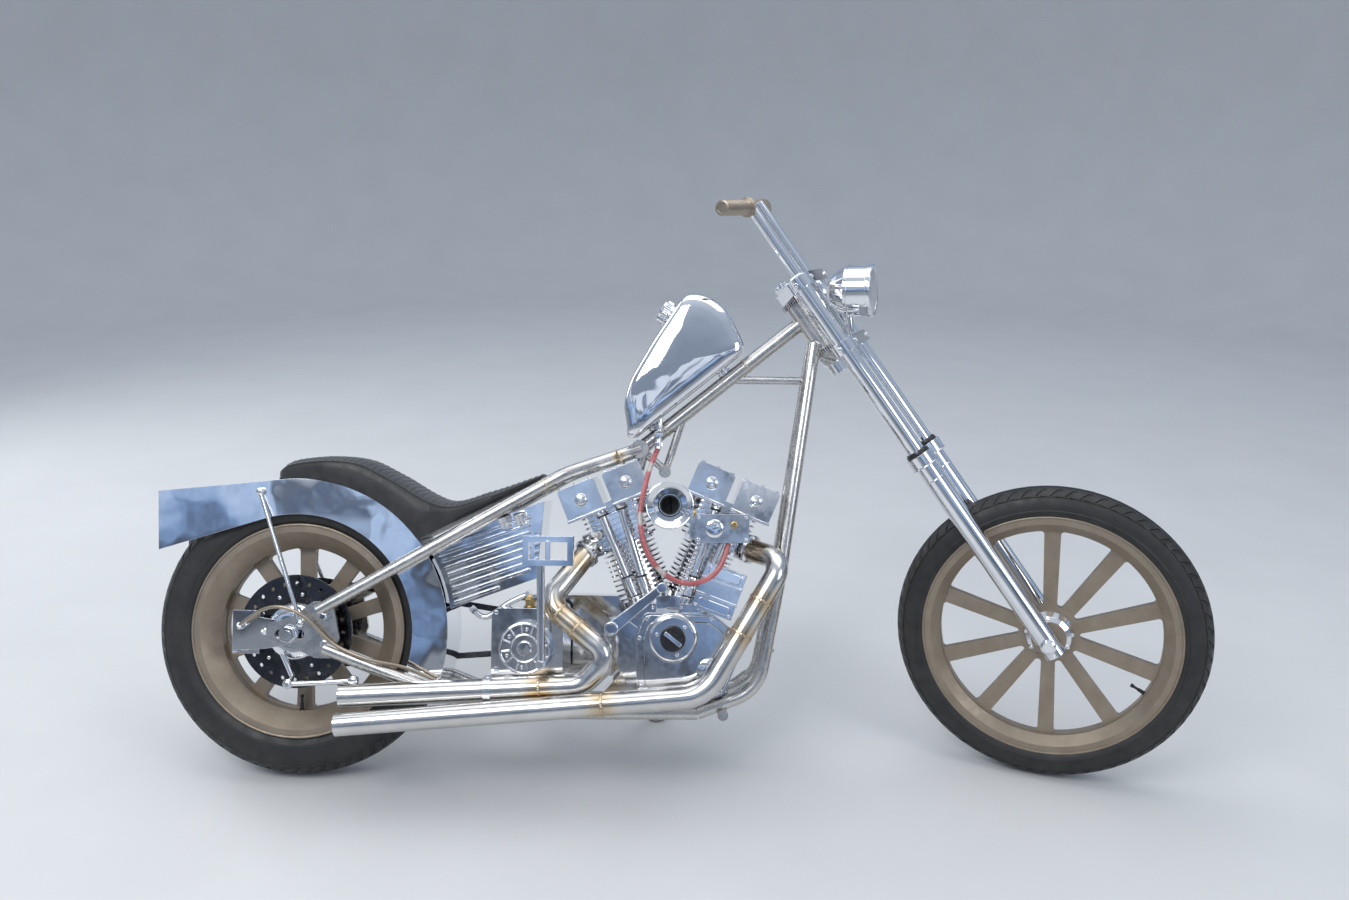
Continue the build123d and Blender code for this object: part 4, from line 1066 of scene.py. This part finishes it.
def cylinder_top(side, end):
    """Rocker box details, bolts and spark plug of the rear or front cylinder."""
    place = on_cylinder(side)
    box, lid = Piece(place), Piece(place)
    for x in (-53.5, 53.5):
        box.box((x - 46.5, -98, 340.5), (x + 46.5, 74, 347), 1.4, 2.0)
        for y, way in ((-95, -1), (71, 1)):
            box.lathe((x, y - way, ROCKER_AXIS), (0, way, 0), ROCKER_CAP, 40)
            for dx in (-35, 35):
                lid.screw((x + dx, y - way * 7, 346.5), UP, 4.6, 5.0)
                lid.screw((x + dx, y - way * 13, LID_TOP), UP, 4.6, 4.2, 2.0)
            lid.screw((x, y - way * 13, LID_TOP), UP, 4.6, 4.2, 2.0)
            lid.nut((x, y + way * 6, ROCKER_AXIS), (0, way, 0), 5.2, 4.0)
    box.make(f"rocker_trim_{end}", POLISHED, "rocker_boxes")
    lid.make(f"rocker_screws_{end}", CHROME, "rocker_boxes")
    head = Piece(place)
    for dx, dy in product((-54, 54), (-48, 48)):
        head.lathe((dx, dy, 246), UP, HEAD_BOLT, 6)
    head.box((-30, -66, 262), (30, -58, 330), 2.0, 8.0)
    head.make(f"head_bolts_{end}", CHROME, "rocker_boxes")
    plug = Piece(place).lathe((side * 46, -64, 292), (side * 0.35, -1, 0.15), SPARK_PLUG, 24)
    plug.make(f"spark_plug_{end}", CERAMIC, "pushrod_tubes")


def engine():
    gear_cover()
    cylinder_top(-1, "rear")
    cylinder_top(1, "front")
    collars, seals = Piece(), Piece()
    for foot, side, top_x in PUSHRODS:
        top = turned(CRANK, side * V_HALF_ANGLE, top_x, PUSHROD_HEIGHTS[1])
        low, high = Vector((foot, PUSHROD_Y, PUSHROD_HEIGHTS[0])), Vector(aside(top, PUSHROD_Y))
        way = (high - low).normalized()
        for profile in FOOT_COLLARS:
            collars.lathe(low, way, profile, 32, ring=True)
        collars.lathe(high, -way, TOP_COLLAR, 32, ring=True)
        for along in (23, 69, (high - low).length - 17):
            seals.ring(low + way * along, way, 10.8, 2.1, 28)
    collars.make("pushrod_collars", CHROME, "pushrod_tubes")
    seals.make("pushrod_seals", BLACK, "timer_cap")


INTAKE = (840, 632)
CARB_FACE = -146.5
STACK_FACE = -129.5
CARB_CAP = ((0, -1), (20, -1), (20, 2), (17, 4), (12, 4.6), (0, 4.6))
STACK_FOOT = ((24.5, 0), (31, 0), (30, 3), (24.5, 4))
MANIFOLD_BAND = ((21, 0), (26, 1), (26, 11), (21, 12))
# The bore's black lining, painted shade inside the intake, and the throttle plate across it
THROAT_SHADE_LINING = ((19, 0), (21.8, 0), (21.8, 50), (19, 50))
THROTTLE_PLATE = ((0, 0), (21, 0), (21, 2), (0, 2))
FUEL_UNION = ((0, 0), (7, 0), (7, 12), (5, 14), (5, 20), (0, 20))
MAGNETO_AT = (950, 446)
MAGNETO_FACE = -139.5


def intake():
    trim = Piece()
    trim.screws(product((903, 1007), (558, 606)), CARB_FACE, RIGHT, 4.0, 3.2)
    trim.lathe((938, CARB_FACE, 582), RIGHT, CARB_CAP, 44)
    trim.lathe(aside(INTAKE, STACK_FACE), RIGHT, STACK_FOOT, 60, ring=True)
    trim.screws(product((817, 863), (610, 654)), STACK_FACE, RIGHT, 4.0, 3.2)
    for x in (762, 906):
        trim.lathe((x, 0, INTAKE[1]), AHEAD, MANIFOLD_BAND, 44, ring=True)
    trim.ring(aside(INTAKE, -150.5), LEFT, 34.6, 2.0, 60)
    trim.ring(aside(INTAKE, -169.5), LEFT, 50.5, 1.8, 80)
    trim.slab(rounded([(884, 562), (892, 558), (892, 622), (884, 618)], 2), -142, -106, 1.2)
    trim.make("carburettor_trim", CHROME, "velocity_stack")
    # Painted shade in the intake's bore: a black lining, with the throttle plate and its spindle in the same
    # black
    throat = Piece()
    throat.lathe(aside(INTAKE, -146), LEFT, THROAT_SHADE_LINING, 48, ring=True)
    throat.lathe(aside(INTAKE, -108), LEFT, THROTTLE_PLATE, 48)
    throat.tube([(840, -110, 612), (840, -110, 652)], 3.0)
    throat.make("carburettor_throat_shade", RUBBER, "timer_cap")
    brass = Piece()
    brass.nut((981, CARB_FACE, 590), RIGHT, 7.5, 6.0)
    brass.lathe((894, -128, 607), (-0.2, -0.3, 1), FUEL_UNION, 24)
    brass.make("carburettor_brass", BRASS, "grips")
    magneto = Piece(tilted(MAGNETO_AT, 20))
    for z in (-18, 18):
        magneto.box((-47.5, -141.5, z - 3), (47.5, -96, z + 3), 1.2, 2)
    for z in (-46, 26):
        magneto.box((-36, -142.5, z), (36, -139, z + 20), 1.4, 6)
    magneto.screws(product((-39, 39), (-45, 45)), MAGNETO_FACE, RIGHT, 3.8, 3.0)
    magneto.make("magneto_trim", CHROME, "magneto")


PIPE_CLAMP = ((25.2, -8), (28, -8), (28, 8), (25.2, 8))
PORT_FLANGE = ((25.2, -7), (33, -7), (33, 2), (30, 4), (25.2, 5))
# Places and directions of the pipes at the cylinders and at their open ends
PORTS = (((1022, -56, 532), (0.66, -0.70, -0.2)), ((650, -58, 518), (-0.68, -0.56, -0.45)))
PIPE_ENDS = (((128, -178, 152), (791, 2, 72)), ((128, -152, 208), (524, 16, 28)))
# A black lining inside each pipe's open end, partly soot and partly painted shade, and a black disc across
# the bore deeper in, which is painted shade
SOOT_AND_SHADE_LINING = ((22.6, 4), (22.95, 4), (22.95, 130), (22.6, 130))
PIPE_SHADE_DISC = ((0, 128), (22.9, 128), (22.9, 130), (0, 130))


def pipes():
    beads = Piece()
    for place, way in PIPE_WELDS:
        beads.weld(place, way, PIPE_R)
    beads.make("pipe_welds", PIPES, "exhaust_front")
    clamps = Piece()
    clamps.lathe((448, -142.2, 225), (1, 0.03, 0.053), PIPE_CLAMP, 48, ring=True)
    clamps.nut((448, -142, 252), UP, 6.0, 6.0, 3.0)
    for place, way in PORTS:
        clamps.lathe(place, way, PORT_FLANGE, 48, ring=True)
    clamps.make("pipe_clamps", CHROME, "fuel_cap")
    # Painted shade in the pipe ends: a black lining, partly soot, and a black disc closing each bore
    inside = Piece()
    for place, way in PIPE_ENDS:
        inside.lathe(place, way, SOOT_AND_SHADE_LINING, 48, ring=True)
        inside.lathe(place, way, PIPE_SHADE_DISC, 48)
    inside.make("pipe_soot_and_shade", RUBBER, "timer_cap")
    welds = Piece()
    for place, way, radius in FRAME_WELDS:
        welds.weld(place, way, radius - 0.3, 2.0)
    welds.make("frame_welds", SATIN, "frame_top_tube")


# Gearbox, primary and chain

GEARBOX_COVER = (523, 312)
COVER_FACE = -116
COVER_HUB = ((0, -1), (17, -1), (17, 3), (14, 5.5), (0, 6))
FILLER_NECK = ((0, -2), (15, -2), (15, 3), (11, 4), (11, 12), (0, 12))
FILLER_CAP = ((0, 0), (13, 0), (13, 7), (11, 9), (0, 9))
CLUTCH = (530, 318)
CLUTCH_DOME = ((0, 0), (56, 0), (56, 5), (52, 9), (40, 12), (0, 13))
CRANK_DOME = ((0, 0), (64, 0), (64, 5), (58, 10), (30, 12.5), (0, 13))
PRIMARY = hull((*CRANK, 98), (*CLUTCH, 92))
PRIMARY_FACE = 156
CHAIN_PITCH = 15.875
CHAIN_R = (101.0, 40.0)


def drive():
    cover = Piece()
    middle = aside(GEARBOX_COVER, COVER_FACE)
    cover.ring(middle, LEFT, 54.5, 2.6, 72)
    cover.ring(middle, LEFT, 30.0, 2.2, 60)
    for spot in spots(12, 8, 1):
        way = Vector(aside(spot, 0))
        cover.tube([Vector(middle) + way * 33, Vector(middle) + way * 51], 2.4, 10)
    cover.lathe(middle, RIGHT, COVER_HUB, 44)
    cover.make("gearbox_cover_ribs", POLISHED, "gearbox_cover")
    screws = Piece()
    screws.screws(spots(6, 23, 42, GEARBOX_COVER), COVER_FACE, RIGHT, 4.2, 3.6)
    screws.screws(((455, 237), (595, 237), (455, 387), (595, 387)), -89.5, RIGHT, 5.2, 4.5)
    screws.nut((566, -167.5, 285), RIGHT, 9.0, 7.0)
    screws.make("gearbox_screws", CHROME, "gearbox_cover")
    filler = Piece()
    filler.lathe((526, -58, 396), UP, FILLER_NECK, 40)
    filler.lathe((526, -58, 408), UP, FILLER_CAP, 6)
    filler.make("gearbox_filler", BRASS, "grips")
    primary = Piece()
    primary.slab(inset(PRIMARY, 4), 149.5, 152.5, 1.4)
    primary.slab(inset(PRIMARY, 20), 152, 157, 3.0)
    primary.lathe(aside(CLUTCH, PRIMARY_FACE), LEFT, CLUTCH_DOME, 72)
    primary.lathe(aside(CRANK, PRIMARY_FACE), LEFT, CRANK_DOME, 72)
    primary.make("primary_trim", POLISHED, "primary_case")
    bolts = Piece().screws(inset(PRIMARY, 12)[::3], 152, LEFT, 4.8, 4.0)
    for clutch, crank in zip(spots(6, 0, 46, CLUTCH), spots(6, 0, 50, CRANK)):
        bolts.screw(aside(clutch, 164), LEFT, 4.0, 3.4)
        bolts.screw(aside(crank, 164.5), LEFT, 4.0, 3.4)
    bolts.make("primary_bolts", CHROME, "primary_case")


def chain_line():
    """The places of the chain's pins along its loop, in x and z."""
    steps = hull((0, REAR_AXLE_Z, CHAIN_R[0]), (*CLUTCH, CHAIN_R[1]), steps=60)
    lengths = [0.0]
    for before, after in zip(steps, steps[1:] + steps[:1]):
        lengths.append(lengths[-1] + math.dist(before, after))
    links = 2 * round(lengths[-1] / CHAIN_PITCH / 2)
    pins = []
    number = 0
    for link in range(links):
        wanted = lengths[-1] * link / links
        while lengths[number + 1] < wanted:
            number += 1
        share = (wanted - lengths[number]) / (lengths[number + 1] - lengths[number])
        ax, az = steps[number]
        bx, bz = steps[(number + 1) % len(steps)]
        pins.append((ax + (bx - ax) * share, az + (bz - az) * share))
    return pins


def chain():
    links = Piece()
    pins = chain_line()
    for number, (x, z) in enumerate(pins):
        nx, nz = pins[(number + 1) % len(pins)]
        links.lathe((x, 79.2, z), LEFT, ((0, 0), (3.0, 0), (3.0, 11.6), (0, 11.6)), 10)
        links.lathe((x, 81.6, z), LEFT, ((0, 0), (5.0, 0), (5.0, 6.8), (0, 6.8)), 14)
        outer = number % 2
        outline = hull((x, z, 6.6), (nx, nz, 6.6), steps=4)
        for y in ((79.4, 80.6), (89.4, 90.6)) if outer else ((80.7, 81.8), (88.2, 89.3)):
            links.slab(outline, *y, 0.3)
    made = links.make("chain_links", BLACKED, "rear_chain")
    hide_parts("rear_chain")


# Fork, headlight and grips

FORK_SIDE = 73
STEM_X = -55
SEAL = ((20.7, 0), (26.5, 0), (26.5, 5), (24, 10), (20.7, 11))
STEM_RING = ((26, 0), (29.4, 0), (29.4, 11), (26, 11))
FORK_CAP = ((0, -1), (17, -1), (17, 4), (15, 6), (0, 6))
AXLE_CAP = ((0, 0), (17, 0), (17, 4), (12, 8), (0, 8.4))
STEM_CAP = ((0, 0), (16, 0), (16, 8), (12, 11), (0, 12))
RISER_FOOT = ((12, 0), (18, 0), (17, 6), (13.4, 9), (12, 9))
HEADLIGHT = (1243, 0, 1128)
LAMP_RIM = ((50, 50), (59.4, 50), (60.2, 54), (59.6, 60), (56, 62.5), (52, 61), (51, 58))
LAMP_LENS = ((0, 56), (53, 56), (53, 59), (46, 61.5), (34, 64), (18, 65.6), (0, 66.2))
BAR_ALONG = 1179.5
BAR_SIDE = 47
BAR_SWEEP = math.radians(12)
GRIP_RIBS = 22
GRIP_START = [(11.0, 16), (22, 16), (23, 18), (22, 20), (17.4, 21)]
GRIP_RIB = ((16.0, 0), (16.0, 1.2), (17.5, 1.8), (17.5, 4.2))
GRIP_END = [(17.4, 134.4), (14, 136), (11.0, 136)]
GRIP_PLUG = ((0, 0), (13, 0), (13, 2.4), (0, 2.8))


def fork():
    dark = Piece(on_fork)
    for side in (-FORK_SIDE, FORK_SIDE):
        dark.lathe((0, side, 505), UP, SEAL, 48, ring=True)
    for along in (812, 942):
        dark.lathe((STEM_X, 0, along), UP, STEM_RING, 96, ring=True, flutes=32, depth=1.2)
    dark.make("fork_seals", BLACK, "timer_cap", FRONT_END)
    bright = Piece(on_fork)
    for way in (-1, 1):
        side = way * FORK_SIDE
        out = (0, way, 0)
        for along in (795.7, 969.3):
            bright.screw((28.5, side, along), AHEAD, 5.2, 5.0, 2.0)
            bright.screw((-4, side + way * 28.5, along), out, 5.2, 5.0, 2.0)
        bright.lathe((0, side, 983), UP, FORK_CAP, 6)
        bright.ring((0, side, 477), UP, 30.4, 1.6, 60)
        bright.ring((0, side, 440), UP, 23.4, 1.5, 60)
        bright.lathe((0, side + way * 22, 0), out, AXLE_CAP, 40)
        bright.screw((0, side + way * 18, -22), out, 4.5, 8.0, 2.0)
    bright.nut((STEM_X, 0, 982), UP, 24.0, 11.0)
    bright.lathe((STEM_X, 0, 993), UP, STEM_CAP, 44)
    for side in (-BAR_SIDE, BAR_SIDE):
        bright.lathe((0, side, 983), UP, RISER_FOOT, 44, ring=True)
    bright.make("fork_trim", CHROME, "upper_clamp", FRONT_END)


def front():
    fork()
    rim = Piece(straight).lathe(HEADLIGHT, AHEAD, LAMP_RIM, 96, ring=True)
    rim.ring((HEADLIGHT[0] + 6, 0, HEADLIGHT[2]), AHEAD, 57.6, 1.8, 96)
    rim.make("headlight_rim", CHROME, "headlight", FRONT_END)
    glass = Piece(straight).lathe(HEADLIGHT, AHEAD, LAMP_LENS, 96)
    glass.make("headlight_lens", LENS, "headlight", FRONT_END)
    grips = Piece(straight)
    rake = math.radians(FRONT_RAKE)
    start = Vector((FRONT_X, 0, FRONT_Z)) + Vector((-math.sin(rake), 0, math.cos(rake))) * BAR_ALONG
    profile = list(GRIP_START)
    for number in range(GRIP_RIBS):
        profile += [(radius, 24 + number * 5 + along) for radius, along in GRIP_RIB]
    profile += GRIP_END
    for side in (-1, 1):
        way = Vector((-math.sin(BAR_SWEEP), side * math.cos(BAR_SWEEP), -0.02))
        base = start + Vector((0, side * BAR_SIDE, 0))
        grips.lathe(base, way, profile, 48, ring=True)
        grips.lathe(base + way.normalized() * 133, way, GRIP_PLUG, 40)
    made = grips.make("ribbed_grips", GRIP, "grips", FRONT_END)
    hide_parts("grips")


# Controls, stand and frame details

# The foot control's ends: x, z and radius of the arm and of its bosses
ARM_ENDS = ((718, 366, 14), (826, 455, 9))
BOSSES = ((718, 366, 15), (826, 455, 11))
GUSSET = [(1046, 250), (1016, 240), (940, 184), (930, 172), (1036, 216)]
GUSSET_Y = 74
GUSSET_HALF = 4


def controls():
    arm = Piece().slab(hull(*ARM_ENDS), -183, -172, 1.6)
    for x, z, radius in BOSSES:
        boss = ((0, 0), (radius - 1, 0), (radius, 1), (radius, 15), (radius - 1, 16), (0, 16))
        arm.lathe((x, -184, z), LEFT, boss, 36)
    arm.make("foot_control_arm", CHROME, "foot_control_right")
    pad = Piece().box((573, -170.6, 508), (583, -149.4, 552), 1.0)
    pad.make("kick_pedal_bars", CHROME, "kick_lever")
    Piece().nut((700, 142, 176), LEFT, 10.0, 8.0, 8.0).make("stand_pivot_bolt", CHROME, "stand_bracket")
    post = Piece().tube([(775, 0, 752), (762, 0, 700), (752, 0, 668)], 13.0, 24)
    post.make("seat_post", SATIN, "frame_top_tube")
    gusset = Piece()
    for side in (-1, 1):
        gusset.slab(GUSSET, side * GUSSET_Y - GUSSET_HALF, side * GUSSET_Y + GUSSET_HALF, 1.0)
    gusset.make("frame_gussets", SATIN, "frame_downtubes")


camera()
hoses()
stage()
sky()
paint_nodes()
wheels()
rear_end()
seat()
tanks()
engine()
intake()
pipes()
drive()
chain()
front()
controls()

bpy.context.scene.view_settings.view_transform = "Standard"
